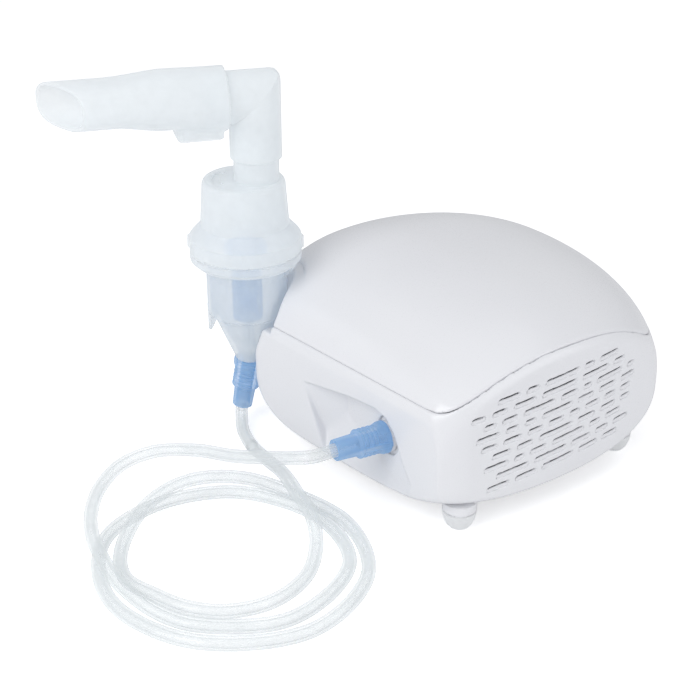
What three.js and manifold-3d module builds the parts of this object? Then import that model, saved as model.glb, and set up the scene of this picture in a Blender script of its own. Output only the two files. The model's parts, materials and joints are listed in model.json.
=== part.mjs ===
// Tabletop piston nebulizer: a compressor in a domed housing, an air hose and a medicine cup handset.
// Millimetres, +Z up. The air outlet's face looks along -Y and the louvred face along +X. The parts are drawn
// about a point on the table under the housing; the finished group is moved so that its origin is on the
// table at the middle of the whole footprint.
import * as THREE from 'three';
import { mergeVertices } from 'three/addons/utils/BufferGeometryUtils.js';
import Module from 'manifold-3d';

const wasm = await Module();
wasm.setup();

// ---------------------------------------------------------------- driving dimensions
const gap = 0.3; // clearance between neighbouring pieces
const wall = 2.5; // housing wall
const far = 200; // beyond any part of the housing
const footprintMiddle = { x: -25, y: -55.7 };

const dome = {
  centre: [-16, 3.5, 38.5],
  left: 74.5,
  right: 116.5,
  front: 111,
  back: 99.5,
  rise: 57,
  drop: 33.5,
  riseExponent: 3.2,
  dropExponent: 3,
  leanX: -0.0057, // sideways lean of the crown, per square millimetre of rise
  leanY: -0.001,
};
const undersideZ = 9.5;
const portFaceY = -71.5;
const brow = { z: 60, lean: 28 }; // the port face leans back above this height
// The crown starts at a ridge over the brow; the ridge falls a little towards +X.
const crown = { ridgeY: -63.5, ridgeZ: 74.7, slope: 0.445, fall: 0.054 };
const ventFace = { x: 76.3, midY: 24, bowRadius: 480 };
const parting = { z: 63.5, ventPanelDepth: 4 };

const cup = { x: -80, y: -67, notchRadius: 22.8, seatRadius: 28.3, seatZ: 84, shelfZ: 60, neckRadius: 9.9,
  legs: [40, 220], pocketZ: 50.5 };
// The air outlet turns a little towards the cup's side.
const port = { x: 26, z: 38, wallY: -66.5, turn: -12, stand: 3, spotRadius: 9.2 };
const rearPanel = { y: 88, x0: -52, x1: 22, z0: 17, z1: 52, fittingZ: 34.5,
  switchX: -34, inletX: -12, filterX: 9 };
const foot = {
  radius: 8,
  height: undersideZ,
  stemRadius: 2.6,
  places: [[60, -54], [60, 54], [-52, 52], [-50, -46]],
};
const post = { radius: 4.5, bore: 1.3, bottomZ: 14.5, places: [[44, -44], [28, 66], [-48, 62], [-28, -50]] };

const hose = { radius: 3.5, bore: 2, sides: 6, steps: 136 };
const connectorLength = 26; // from the hose end to the flange
const motor = { y: 10, z: 44, shaftRadius: 2.5, rotorRadius: 13, stackFrom: 6, stackTo: 32 };
const crankThrow = 2; // half of the piston's stroke
const cylinder = { x: -24, bore: 12.2, outer: 15.5, bottomZ: 63, topZ: 77 };

// ---------------------------------------------------------------- materials
const paint = (color, roughness, metalness = 0, opacity = 1) =>
  new THREE.MeshStandardMaterial({ color, roughness, metalness, opacity, transparent: opacity < 1 });
const whitePlastic = paint(0xf0f1f5, 0.25);
const greyPlastic = paint(0xd5d6dc, 0.4);
const darkPlastic = paint(0x2b2d31, 0.45);
const frostedPlastic = paint(0xdfe8ec, 0.3, 0, 0.6);
const bluePlastic = paint(0x5f9fe0, 0.3, 0, 0.8);
const clearVinyl = paint(0xe6eef0, 0.15, 0, 0.4);
const silicone = paint(0xe4e8ea, 0.5, 0, 0.8);
const steel = paint(0xb8babd, 0.35, 1);
const laminations = paint(0x5c6066, 0.5, 1);
const aluminium = paint(0xc9ccd0, 0.4, 1);
const copper = paint(0xb56a3a, 0.4, 1);
const blackRubber = paint(0x1c1c1e, 0.8);
const felt = paint(0xf2f0ea, 0.95);
const brass = paint(0xc8a452, 0.35, 1);

// ---------------------------------------------------------------- solids from three.js geometry
function solid(geometry) {
  const bare = geometry.index ? geometry.toNonIndexed() : geometry.clone();
  bare.deleteAttribute('normal');
  bare.deleteAttribute('uv');
  const merged = mergeVertices(bare, 1e-4);
  return new wasm.Manifold(new wasm.Mesh({
    numProp: 3,
    vertProperties: Float32Array.from(merged.attributes.position.array),
    triVerts: Uint32Array.from(merged.index.array),
  }));
}

function geometryOf(body) {
  const mesh = body.getMesh();
  const geometry = new THREE.BufferGeometry();
  geometry.setAttribute('position', new THREE.BufferAttribute(mesh.vertProperties, 3));
  geometry.setIndex(new THREE.BufferAttribute(mesh.triVerts, 1));
  geometry.computeVertexNormals();
  return geometry;
}

const join = (bodies) => bodies.reduce((sum, body) => sum.add(body));
const cut = (body, tools) => tools.reduce((rest, tool) => rest.subtract(tool), body);

const basis = {
  x: [[0, 1, 0], [0, 0, 1], [1, 0, 0]],
  y: [[1, 0, 0], [0, 0, 1], [0, -1, 0]],
  z: [[1, 0, 0], [0, 1, 0], [0, 0, 1]],
};

// An outline extruded along an axis. Outlines are [y, z] for x, [x, z] for y and [x, y] for z.
function prism(axis, outline, from, to, holes = []) {
  const shape = new THREE.Shape(outline.map(([u, v]) => new THREE.Vector2(u, v)));
  shape.holes = holes.map((hole) => new THREE.Path(hole.map(([u, v]) => new THREE.Vector2(u, v))));
  const geometry = new THREE.ExtrudeGeometry(shape, { depth: to - from, bevelEnabled: false });
  const [u, v, w] = basis[axis].map((column) => new THREE.Vector3(...column));
  geometry.applyMatrix4(new THREE.Matrix4().makeBasis(u, v, w));
  const start = { x: [from, 0, 0], y: [0, to, 0], z: [0, 0, from] }[axis];
  return solid(geometry.translate(...start));
}

const rectangle = (u0, u1, v0, v1) => [[u0, v0], [u1, v0], [u1, v1], [u0, v1]];

function circle(u, v, radius, sides = 16) {
  const turn = (2 * Math.PI) / sides;
  return Array.from({ length: sides }, (_, i) =>
    [u + radius * Math.cos(i * turn), v + radius * Math.sin(i * turn)]);
}

function roundedRectangle(u0, u1, v0, v1, radius, steps = 4) {
  const corners = [[u1 - radius, v1 - radius, 0], [u0 + radius, v1 - radius, 1],
    [u0 + radius, v0 + radius, 2], [u1 - radius, v0 + radius, 3]];
  return corners.flatMap(([u, v, quarter]) => Array.from({ length: steps + 1 }, (_, i) => {
    const angle = (quarter + i / steps) * (Math.PI / 2);
    return [u + radius * Math.cos(angle), v + radius * Math.sin(angle)];
  }));
}

const rod = (axis, u, v, radius, from, to, sides = 16) => prism(axis, circle(u, v, radius, sides), from, to);
const pipe = (axis, u, v, radius, bore, from, to, sides = 16) =>
  prism(axis, circle(u, v, radius, sides), from, to, [circle(u, v, bore, sides)]);
const box = ([x0, x1], [y0, y1], [z0, z1]) => prism('z', rectangle(x0, x1, y0, y1), z0, z1);

// A body of revolution about Z from a closed profile of [radius, height] points.
function turned(profile, sides = 16) {
  const points = profile.map(([radius, height]) => new THREE.Vector2(radius, height));
  const onAxis = profile[0][0] === 0 && profile.at(-1)[0] === 0;
  if (!onAxis) {
    points.push(points[0].clone());
  }
  return solid(new THREE.LatheGeometry(points, sides).rotateX(Math.PI / 2));
}

// Moves every vertex of a geometry by a rule that takes and returns a Vector3.
function warped(geometry, rule) {
  const place = geometry.attributes.position;
  const point = new THREE.Vector3();
  for (let i = 0; i < place.count; i += 1) {
    rule(point.fromBufferAttribute(place, i));
    place.setXYZ(i, point.x, point.y, point.z);
  }
  return solid(geometry);
}

// A round tube along a smooth curve through points.
function tube(points, radius, bore, sides, steps) {
  const extrudePath = new THREE.CatmullRomCurve3(points.map((point) => new THREE.Vector3(...point)));
  const shape = new THREE.Shape(circle(0, 0, radius, sides).map(([u, v]) => new THREE.Vector2(u, v)));
  if (bore > 0) {
    shape.holes = [new THREE.Path(circle(0, 0, bore, sides).map(([u, v]) => new THREE.Vector2(u, v)))];
  }
  return solid(new THREE.ExtrudeGeometry(shape, { steps, extrudePath, bevelEnabled: false }));
}

const root = new THREE.Group();

function piece(name, body, material, parent = root) {
  const mesh = new THREE.Mesh(geometryOf(body), material);
  mesh.name = name;
  parent.add(mesh);
  return mesh;
}

// ---------------------------------------------------------------- housing
// The pebble-shaped hull: ellipses in plan that round off above and below the centre height.
function domeSolid(inset) {
  const [cx, cy, cz] = dome.centre;
  return warped(new THREE.SphereGeometry(1, 36, 18).rotateX(Math.PI / 2), (point) => {
    const exponent = point.z > 0 ? dome.riseExponent : dome.dropExponent;
    const height = (point.z > 0 ? dome.rise : dome.drop) - inset;
    const level = Math.abs(point.z) ** (2 / exponent);
    const flat = Math.hypot(point.x, point.y);
    const spread = flat > 1e-6 ? flat ** (2 / exponent) / flat : 0;
    const reachX = (point.x > 0 ? dome.right : dome.left) - inset;
    const reachY = (point.y > 0 ? dome.back : dome.front) - inset;
    const rise = point.z > 0 ? level * height : 0;
    point.set(
      cx + point.x * spread * reachX + dome.leanX * rise ** 2,
      cy + point.y * spread * reachY + dome.leanY * rise ** 2,
      cz + Math.sign(point.z) * level * height,
    );
  });
}

function ventX(y, inset) {
  return ventFace.x - inset - (y - ventFace.midY) ** 2 / (2 * ventFace.bowRadius);
}

// Everything beyond the gently bowed louvred face.
function beyondVentFace(inset) {
  const bowSteps = 10;
  const bow = Array.from({ length: bowSteps + 1 }, (_, i) => {
    const y = -80 + i * 20;
    return [ventX(y, inset), y];
  });
  return prism('z', [...bow.reverse(), [far, -80], [far, 120]], 0, far);
}

// Everything behind the port face and above the underside.
function behindPortFace(inset) {
  const y = portFaceY + inset;
  const browRun = (far - brow.z) * Math.tan(THREE.MathUtils.degToRad(brow.lean));
  const floorZ = undersideZ + inset;
  return prism('x', [[y, floorZ], [far, floorZ], [far, far], [y + browRun, far], [y, brow.z]], -far, far);
}

// Everything under the crown's slope.
function underCrown(inset) {
  const drop = inset * Math.hypot(1, crown.slope);
  const topZ = (y) => crown.ridgeZ + crown.slope * (y - crown.ridgeY) - drop;
  const tilt = new THREE.Matrix4().makeShear(0, -crown.fall, 0, 0, 0, 0);
  return prism('x', [[-far / 2, -far], [far, -far], [far, topZ(far)], [-far / 2, topZ(-far / 2)]], -far, far)
    .transform(tilt.elements);
}

// The outlet's axis: +Z of this frame runs from outside into the housing, from the flat round the outlet.
const portFrame = new THREE.Matrix4().makeTranslation(port.x, port.wallY, port.z)
  .multiply(new THREE.Matrix4().makeRotationZ(THREE.MathUtils.degToRad(port.turn)))
  .multiply(new THREE.Matrix4().makeRotationX(-Math.PI / 2));
const alongPort = (distance) => new THREE.Vector3(0, 0, distance).applyMatrix4(portFrame).toArray();

// Grows an outline outwards from its middle by the same amount on each side.
function grown(outline, amount) {
  const middle = [0, 1].map((k) => outline.reduce((sum, point) => sum + point[k], 0) / outline.length);
  return outline.map((point) => point.map((value, k) => value + Math.sign(value - middle[k]) * amount));
}

// The scooped recess round the air outlet.
const scoopOutline = [[-31, 44], [2, 49.6], [20, 51], [28, 49], [33.5, 43], [38.5, 32], [45, 22], [41, 10],
  [-15, 10]];

function portScoop(grow) {
  const ahead = portFaceY - 20;
  const faceY = portFaceY + grow;
  const left = -31 - grow;
  const right = 45 + grow;
  const floorZ = 10 - grow;
  const plan = [[left, portFaceY], [left, ahead], [right, ahead], [right, faceY], [-10, -61 + grow],
    [left, faceY]];
  const slope = [[ahead, floorZ], [faceY, floorZ], [-56 + grow, 41 - grow], [-56 + grow, 70], [ahead, 70]];
  const spot = [[0, -20], [port.spotRadius + grow, -20], [port.spotRadius + grow, grow], [0, grow]];
  return prism('y', grown(scoopOutline, grow), ahead, -50)
    .intersect(prism('z', plan, 0, 80))
    .intersect(prism('x', slope, -50, 60))
    .add(turned(spot).transform(portFrame.elements));
}

// The cup's nest: a seat for the collar, a well, a shelf, a funnel under it and a pocket for one leg.
function cupNotch(grow) {
  const { notchRadius, seatRadius, seatZ, shelfZ, neckRadius, legs, pocketZ } = cup;
  const well = turned([[0, 0], [neckRadius + grow, 0], [neckRadius + grow, 44],
    [17.2 + grow, shelfZ - grow], [notchRadius + grow, shelfZ - grow], [notchRadius + grow, seatZ - grow],
    [seatRadius + grow, seatZ - grow], [seatRadius + grow, far], [0, far]], 32);
  const pocket = arcTab(12, 20.8 + grow, pocketZ - grow, shelfZ + 1, legs[0], 54 + grow * 6);
  return well.add(pocket).translate([cup.x, cup.y, 0]);
}

function rearRecess(grow) {
  const { x0, x1, z0, z1, y } = rearPanel;
  return prism('y', roundedRectangle(x0 - grow, x1 + grow, z0 - grow, z1 + grow, 6), y - grow, far);
}

function hull(inset) {
  const trimmed = domeSolid(inset).intersect(behindPortFace(inset)).intersect(underCrown(inset));
  return cut(trimmed, [beyondVentFace(inset), portScoop(inset), cupNotch(inset), rearRecess(inset)]);
}

// The space that belongs to the lower shell: below the parting line, and the louvred panel.
function lowerZone(grow) {
  const below = box([-far, far], [-far, far], [0, parting.z + grow]);
  return below.add(beyondVentFace(parting.ventPanelDepth + grow));
}

// Rows of short louvre slots that climb a little towards +Y. Each row says where it starts and how long its
// slots are, from the lowest row up.
const louvre = { lowZ: 24.4, pitch: 5.5, rise: 0.045, bridge: 5.2, height: 1.1 };
const louvreRows = [
  { start: -47, lengths: [11, 11, 18, 11, 9] },
  { start: -42, lengths: [17, 18, 11, 7, 9] },
  { start: -49, lengths: [12, 4, 8, 19, 6, 9] },
  { start: -45, lengths: [9, 8, 19, 10, 9, 5] },
  { start: -51, lengths: [7, 9, 7, 8, 5, 8, 6, 6] },
  { start: -54, lengths: [11, 6, 5, 17, 9, 10, 8] },
  { start: -50, lengths: [5, 7, 17, 9, 4, 16, 3] },
  { start: -57, lengths: [6, 7, 11, 20, 16, 6] },
  { start: -43, lengths: [11, 6, 19, 5, 11] },
];

function louvreSlot(from, to, rowZ) {
  const bottom = (y) => rowZ + y * louvre.rise - louvre.height / 2;
  const outline = [[from, bottom(from)], [to, bottom(to)],
    [to, bottom(to) + louvre.height], [from, bottom(from) + louvre.height]];
  return prism('x', outline, 60, far);
}

function louvres() {
  const slots = louvreRows.flatMap(({ start, lengths }, row) => {
    let y = start;
    return lengths.map((length) => {
      const slot = louvreSlot(y, y + length, louvre.lowZ + row * louvre.pitch);
      y += length + louvre.bridge;
      return slot;
    });
  });
  return join(slots);
}

const shell = hull(0).subtract(hull(wall));

// A rounded rectangle on the rear panel, centred on a fitting.
function panelOutline(x, halfWidth, halfHeight, radius) {
  const z = rearPanel.fittingZ;
  return roundedRectangle(x - halfWidth, x + halfWidth, z - halfHeight, z + halfHeight, radius);
}

function baseShell() {
  const { switchX, inletX, filterX, fittingZ } = rearPanel;
  const pads = post.places.map(([u, v]) => rod('z', u, v, 6, undersideZ + 1, post.bottomZ));
  const bosses = foot.places.map(([u, v]) => rod('z', u, v, foot.radius, undersideZ, post.bottomZ));
  const screwHoles = post.places.flatMap(([u, v]) =>
    [rod('z', u, v, 1.8, 0, 30, 12), rod('z', u, v, 3.5, 0, 11.7)]);
  const footHoles = foot.places.map(([u, v]) => rod('z', u, v, foot.stemRadius + gap, 0, 20, 12));
  const panelHoles = [
    turned([[0, -10], [4.3, -10], [4.3, 12], [0, 12]]).transform(portFrame.elements),
    prism('y', panelOutline(switchX, 6.5, 9.5, 1), 80, 95),
    prism('y', panelOutline(inletX, 8.5, 4, 3), 80, 95),
    rod('y', filterX, fittingZ, 8.6, 80, 95),
  ];
  const lower = shell.intersect(lowerZone(0));
  return cut(join([lower, ...pads, ...bosses]), [louvres(), ...screwHoles, ...footHoles, ...panelHoles]);
}

function topCover() {
  const upper = shell.subtract(lowerZone(gap));
  const posts = post.places.map(([u, v]) => rod('z', u, v, post.radius, post.bottomZ + gap, far));
  const bores = post.places.map(([u, v]) => rod('z', u, v, post.bore, 0, 34, 12));
  return cut(upper.add(join(posts).intersect(hull(1))), bores);
}

function housing() {
  piece('base_shell', baseShell(), whitePlastic);
  piece('top_cover', topCover(), whitePlastic);
  foot.places.forEach(([x, y], i) => {
    const { radius, height, stemRadius } = foot;
    const profile = [[0, 0], [2.5, 0], [5, 1.2], [6.6, 4], [radius, height - 2], [radius, height - gap],
      [stemRadius, height - gap], [stemRadius, height + 4], [0, height + 4]];
    piece(`foot_${i + 1}`, turned(profile), frostedPlastic).position.set(x, y, 0);
  });
  post.places.forEach(([x, y], i) => {
    const profile = [[0, 9.8], [2.9, 9.8], [2.9, 11.4], [1, 11.4], [1, 30], [0, 30]];
    piece(`cover_screw_${i + 1}`, turned(profile, 10), steel).position.set(x, y, 0);
  });
}

// ---------------------------------------------------------------- outlet, filter, switch and mains inlet
function outletPort() {
  const bore = 1.6;
  const profile = [[bore, -17], [2.9, -17], [3.3, -14], [3.3, -2.7], [7.4, -2.7], [7.4, -0.4], [4, -0.4],
    [4, 5],
    [2.5, 5], [2.5, 14], [bore, 14]];
  piece('outlet_port', turned(profile), whitePlastic).applyMatrix4(portFrame);
}

function powerInlet() {
  const { y, inletX, fittingZ } = rearPanel;
  const flange = prism('y', panelOutline(inletX, 10.5, 5.5, 3), y + gap, y + 2);
  const body = prism('y', panelOutline(inletX, 8.2, 3.7, 3), 70, y + 1);
  const socket = prism('y', panelOutline(inletX, 6.5, 2.7, 2.6), 73, 95);
  const pins = [-3.5, 3.5].map((offset) => rod('y', inletX + offset, fittingZ, 1.1, 72, 84, 10));
  piece('power_inlet', join([flange.add(body).subtract(socket), ...pins]), darkPlastic);
}

function powerSwitch() {
  const { y, switchX, fittingZ } = rearPanel;
  const flange = prism('y', panelOutline(switchX, 8, 11, 2), y + gap, y + 2);
  const body = prism('y', panelOutline(switchX, 6.2, 9.2, 0.8), 72, y + 1);
  const opening = prism('y', panelOutline(switchX, 5, 7.9, 0.2), 74, 95);
  piece('switch_bezel', flange.add(body).subtract(opening), darkPlastic);
  const side = [[-6, -3.5], [1, -6.9], [4.4, -7.3], [2.2, 0], [4.4, 7.3], [1, 6.9], [-6, 3.5]];
  const outline = side.map(([out, up]) => [y + out, fittingZ + up]);
  piece('switch_rocker', prism('x', outline, switchX - 4.5, switchX + 4.5), darkPlastic);
}

function airFilter() {
  const { y, filterX, fittingZ } = rearPanel;
  const disc = (radius, from, to) => rod('y', filterX, fittingZ, radius, from, to);
  const stubY = 73;
  const pocket = disc(10.5, 68, 85.1).subtract(disc(8.5, 70, 90));
  const stub = rod('z', filterX, stubY, 2.4, fittingZ + 9.5, 55, 12);
  const passage = rod('z', filterX, stubY, 1.3, fittingZ + 3.5, 60, 12);
  piece('filter_housing', pocket.add(stub).subtract(passage), greyPlastic);
  piece('air_filter', disc(8.1, 70.4, 75), felt);
  const lid = disc(9.8, y + gap, y + 2).add(disc(8.1, 76, y + 1)).subtract(disc(7, 74, y - 1));
  const grip = prism('y', panelOutline(filterX, 1.4, 6.5, 1.2), y + 1, y + 5);
  const slots = [-5.2, 5.2].flatMap((across) => [-3.2, 0, 3.2].map((up) => {
    const x = filterX + across;
    const z = fittingZ + up;
    return box([x - 1.8, x + 1.8], [70, 99], [z - 0.5, z + 0.5]);
  }));
  piece('filter_cap', cut(lid, slots).add(grip), greyPlastic);
}

// ---------------------------------------------------------------- compressor
const mountPlaces = [[-38, -20], [40, -20], [-38, 49], [40, 49]];

function compressorFrame() {
  const plate = cut(box([-44, 46], [-26, 55], [19.6, 21.6]), [
    ...mountPlaces.map(([x, y]) => rod('z', x, y, 2.5, 10, 30, 12)),
  ]);
  const cylinderArms = [-1, 1].map((side) => {
    const inner = cylinder.outer + 1.5;
    const y = motor.y + side * inner;
    return box([cylinder.x - 6, cylinder.x + 6], [y, y + side * 2.5].sort((a, b) => a - b), [21, 64]);
  });
  const shelf = cut(box([cylinder.x - 6, cylinder.x + 6], [motor.y - 19.5, motor.y + 19.5], [60.5, 62.7]), [
    rod('z', cylinder.x, motor.y, cylinder.bore + 0.5, 50, 70)]);
  piece('chassis', join([plate, ...cylinderArms, shelf]), steel);
  mountPlaces.forEach(([x, y], i) => {
    const profile = [[0, 12.3], [4.8, 12.3], [5.4, 14.5], [4.8, 19.3], [2.2, 19.3], [2.2, 23], [0, 23]];
    piece(`rubber_mount_${i + 1}`, turned(profile, 12), blackRubber).position.set(x, y, 0);
  });
}

function motorStator() {
  const { stackFrom, stackTo, y, z } = motor;
  const window = rectangle(y + 18, y + 28, z - 15, z + 15);
  const stack = prism('x', rectangle(y - 30, y + 40, z - 22, z + 22), stackFrom, stackTo,
    [circle(y, z, motor.rotorRadius + 0.6), window]);
  piece('stator_stack', stack, laminations);
  const coil = prism('z', rectangle(stackFrom - 7, stackTo + 7, y + 19, y + 49), z - 14, z + 14,
    [rectangle(stackFrom - gap, stackTo + gap, y + 28 - gap, y + 40 + gap)]);
  piece('motor_coil', coil, copper);
  [['drive', -4], ['fan', 36]].forEach(([end, x]) => {
    const plate = prism('x', rectangle(y - 24, y + 17, z - 10, z + 10), x, x + 3, [circle(y, z, 8.3)]);
    const leg = box([x, x + 3], [y - 24, y - 12], [21.9, z - 9]);
    piece(`bearing_bracket_${end}`, plate.add(leg), aluminium);
    const bearing = pipe('x', y, z, 8, motor.shaftRadius + gap, x - 1, x + 4);
    piece(`bearing_${end}`, bearing, brass);
  });
}

function motorRotor() {
  const { y, z, shaftRadius, rotorRadius, stackFrom, stackTo } = motor;
  piece('shaft', rod('x', y, z, shaftRadius, -15.7, 64), steel);
  piece('rotor', pipe('x', y, z, rotorRadius, shaftRadius + gap, stackFrom, stackTo), steel);
  const blades = Array.from({ length: 7 }, (_, i) => {
    const blade = new THREE.BoxGeometry(8, 1.6, 19).translate(0, 0, 14.5);
    blade.rotateZ(0.6);
    blade.rotateX((i * 2 * Math.PI) / 7);
    return solid(blade.translate(57, y, z));
  });
  const hub = pipe('x', y, z, 7, shaftRadius + gap, 52, 62);
  piece('cooling_fan', cut(join([hub, ...blades]), [rod('x', y, z, shaftRadius + gap, 40, 70)]), greyPlastic);
}

function crankAndPiston() {
  const { y, z, shaftRadius } = motor;
  const pinZ = z + crankThrow;
  const disc = rod('x', y, z, 9, -18, -10);
  const counterweight = prism('x', [[y - 6, z - 13], [y + 6, z - 13], [y + 9, z], [y - 9, z]], -18, -10);
  const socket = rod('x', y, z, shaftRadius + gap, -16, -5);
  const pin = rod('x', y, pinZ, 2.5, -29, -17);
  piece('crank', join([cut(disc.add(counterweight), [socket]), pin]), steel);
  piece('rod_bearing', pipe('x', y, pinZ, 6, 2.9, -27, -21), steel);
  const eye = pipe('x', y, pinZ, 9, 6.3, -27, -21);
  const shank = box([-26.5, -21.5], [y - 3, y + 3], [pinZ + 7.5, pinZ + 22]);
  const head = rod('z', cylinder.x, y, 9, pinZ + 21, pinZ + 25);
  const stud = rod('z', cylinder.x, y, 3, pinZ + 24, pinZ + 27.5);
  piece('connecting_rod', join([eye, shank, head, stud]), aluminium);
  const seal = turned([[3.3, 25.3], [9.8, 25.3], [9.8, 29], [8.8, 29], [8.4, 26.5], [3.3, 26.5]])
    .translate([cylinder.x, y, pinZ]);
  piece('piston_seal', seal, blackRubber);
}

function cylinderAndHead() {
  const { x, bore, outer, bottomZ, topZ } = cylinder;
  const { y } = motor;
  const square = roundedRectangle(x - 16, x + 16, y - 16, y + 16, 4);
  const fins = [bottomZ + 4, bottomZ + 8].map((z) => pipe('z', x, y, outer + 2, bore + 1, z, z + 1.4));
  piece('cylinder', join([pipe('z', x, y, outer, bore, bottomZ, topZ), ...fins]), aluminium);
  const plateHoles = [-5, 5].map((dx) => circle(x + dx, y, 1.8, 10));
  piece('valve_plate', prism('z', square, topZ + gap, topZ + 1.8, plateHoles), steel);
  const headZ = topZ + 2.1;
  const stubZ = headZ + 3.2;
  const chambers = [x - 7, x + 7].map((mid) =>
    prism('z', roundedRectangle(mid - 5.5, mid + 5.5, y - 12, y + 12, 2), headZ - 1, headZ + 5));
  const stubs = [rod('y', x + 7, stubZ, 2.4, y - 24, y - 13, 12),
    rod('y', x - 7, stubZ, 2.4, y + 13, y + 24, 12)];
  const bores = [rod('y', x + 7, stubZ, 1.3, y - 25, y - 8, 12),
    rod('y', x - 7, stubZ, 1.3, y + 8, y + 25, 12)];
  const block = prism('z', square, headZ, headZ + 7);
  piece('cylinder_head', cut(join([cut(block, chambers), ...stubs]), bores), aluminium);
}

function innerTubes() {
  const headZ = cylinder.topZ + 5.3;
  const { x } = cylinder;
  const { y } = motor;
  const innerTube = (name, points) => piece(name, tube(points, 4, 2.9, 8, 16), clearVinyl);
  innerTube('outlet_tube', [[x + 7, y - 18, headZ], [x + 7, y - 25, headZ], [x + 11, -26, headZ - 4],
    [2, -40, 66],
    [18, -42, 46], alongPort(20), alongPort(14), alongPort(8)]);
  innerTube('intake_tube', [[x - 7, y + 18, headZ], [x - 7, y + 25, headZ], [x - 3, 47, 79], [-8, 66, 68],
    [7, 73, 62],
    [9, 73, 56], [9, 73, 49]]);
  piece('wire_live', tube([[-34, 70, 38], [-34, 62, 40], [-20, 66, 52], [2, 64, 60],
    [12, 58, 62]], 1, 0, 6, 12),
    darkPlastic);
  piece('wire_neutral', tube([[-15.5, 69, 34.5], [-16, 63, 32], [-10, 64, 26], [6, 65, 22],
    [16, 60, 23]], 1, 0, 6, 12),
    blackRubber);
}

// ---------------------------------------------------------------- handset
const collar = { radius: 27.3, partZ: 97, shoulderZ: 110.7 }; // the cup and its cap meet at partZ
const outlet = { offset: 6.4, radius: 10.9, topZ: 156 };
const capTopZ = 133.5;
// The mouthpiece's tube narrows to the lips: its middle rises and its half height shrinks towards them.
const mouth = { height: 174, heading: 244.5, rimFrom: 14, slant: 0.6, halfWidth: 16,
  lift: { barrel: 1.4, lips: 1.8 }, halfHeight: { rim: 15, barrel: 14, lips: 10.4 } };
const viewHeading = THREE.MathUtils.degToRad(49.4); // the outlet tube stands on this side of the cup

const handset = new THREE.Group();
handset.position.set(cup.x, cup.y, 0);
root.add(handset);

// The cup's nipple and its connector lean away from upright; both are measured up from the hose end.
const nozzle = { lean: 10, flangeZ: 35.7 };
const nozzleFrame = (() => {
  const axis = new THREE.Vector3(-Math.sin(viewHeading), Math.cos(viewHeading), 0);
  return new THREE.Matrix4().makeTranslation(0, 0, nozzle.flangeZ)
    .multiply(new THREE.Matrix4().makeRotationAxis(axis, THREE.MathUtils.degToRad(nozzle.lean)))
    .multiply(new THREE.Matrix4().makeTranslation(0, 0, -connectorLength));
})();

// A sector of a ring about the handset axis.
function arcTab(inner, outer, from, to, mid, span) {
  const angles = Array.from({ length: 7 }, (_, i) =>
    THREE.MathUtils.degToRad(mid - span / 2 + (i * span) / 6));
  const ring = [...angles.map((a) => [outer * Math.cos(a), outer * Math.sin(a)]),
    ...angles.reverse().map((a) => [inner * Math.cos(a), inner * Math.sin(a)])];
  return prism('z', ring, from, to);
}

function medicineCup() {
  const { radius, partZ } = collar;
  const outside = [[0, 37], [6.4, 37], [17.1, 63], [19.8, 64.5], [19.8, 85], [20.6, 90.5],
    [radius - 2.9, 90.5],
    [radius, 93.2], [radius, partZ - 0.2], [21.2, partZ - 0.2], [21.2, partZ + 4], [0, partZ + 4]];
  const inside = [[0, 40], [5, 40], [15.6, 64.5], [18.3, 66], [18.3, 85], [19.2, 90], [19.2, 102], [0, 102]];
  const nipple = turned([[0, 14], [2.9, 14], [3.3, 17], [3.3, 28], [0, 28]]).transform(nozzleFrame.elements);
  const bore = turned([[0, 12], [1.4, 12], [1.4, 28.6], [0, 28.6]], 10).transform(nozzleFrame.elements);
  const jet = turned([[0, 38], [4, 38], [2, 62], [0, 62]]);
  const jetBore = turned([[0, 38.4], [1.4, 38.4], [1.4, 56], [0.6, 58], [0.6, 64], [0, 64]], 10);
  const legs = cup.legs.flatMap((mid) => [
    arcTab(18.3, 19.8, 52, 66, mid, 44),
    arcTab(19, 25, 84.4, 91, mid, 24),
  ]);
  const walls = turned(outside, 24).subtract(turned(inside, 24));
  piece('medicine_cup', cut(join([walls, jet, nipple, ...legs]), [bore, jetBore]), frostedPlastic, handset);
}

function jetBaffle() {
  const bell = turned([[4.6, 60], [7.4, 60], [7.4, 88], [10.3, 91.5], [10.3, 99], [9, 99], [9, 92.4],
    [6.2, 89],
    [4.6, 66]]);
  const bar = box([-6.6, 6.6], [-1.2, 1.2], [66.5, 69]);
  piece('jet_baffle', bell.add(bar), bluePlastic, handset);
}

function outletAxis() {
  return [outlet.offset * Math.cos(viewHeading), outlet.offset * Math.sin(viewHeading)];
}

function cupCap() {
  const [u, v] = outletAxis();
  const { radius, partZ, shoulderZ } = collar;
  const outside = turned([[0, partZ + 0.1], [radius, partZ + 0.1], [radius, 104.4], [21.6, shoulderZ],
    [20, capTopZ - 2.5], [17.5, capTopZ], [0, capTopZ]], 24);
  const inside = turned([[0, partZ], [25.6, partZ], [25.6, 103.6], [20.1, shoulderZ - 1.1],
    [18.5, capTopZ - 3.1], [16.8, capTopZ - 1.5], [0, capTopZ - 1.5]], 24);
  const tubeWall = rod('z', u, v, outlet.radius, capTopZ - 1, outlet.topZ);
  const tubeBore = rod('z', u, v, outlet.radius - 1.6, 120, 170);
  const window = prism('z', inletOutline(11.5, 15.5), 126, 140);
  const grips = [viewHeading, viewHeading + Math.PI].map((angle) =>
    rod('z', radius * Math.cos(angle), radius * Math.sin(angle), 1.2, 97.6, 104, 8));
  const body = join([outside.subtract(inside), tubeWall, ...grips]);
  piece('cup_cap', cut(body, [tubeBore, window, inside]), frostedPlastic, handset);
}

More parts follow.
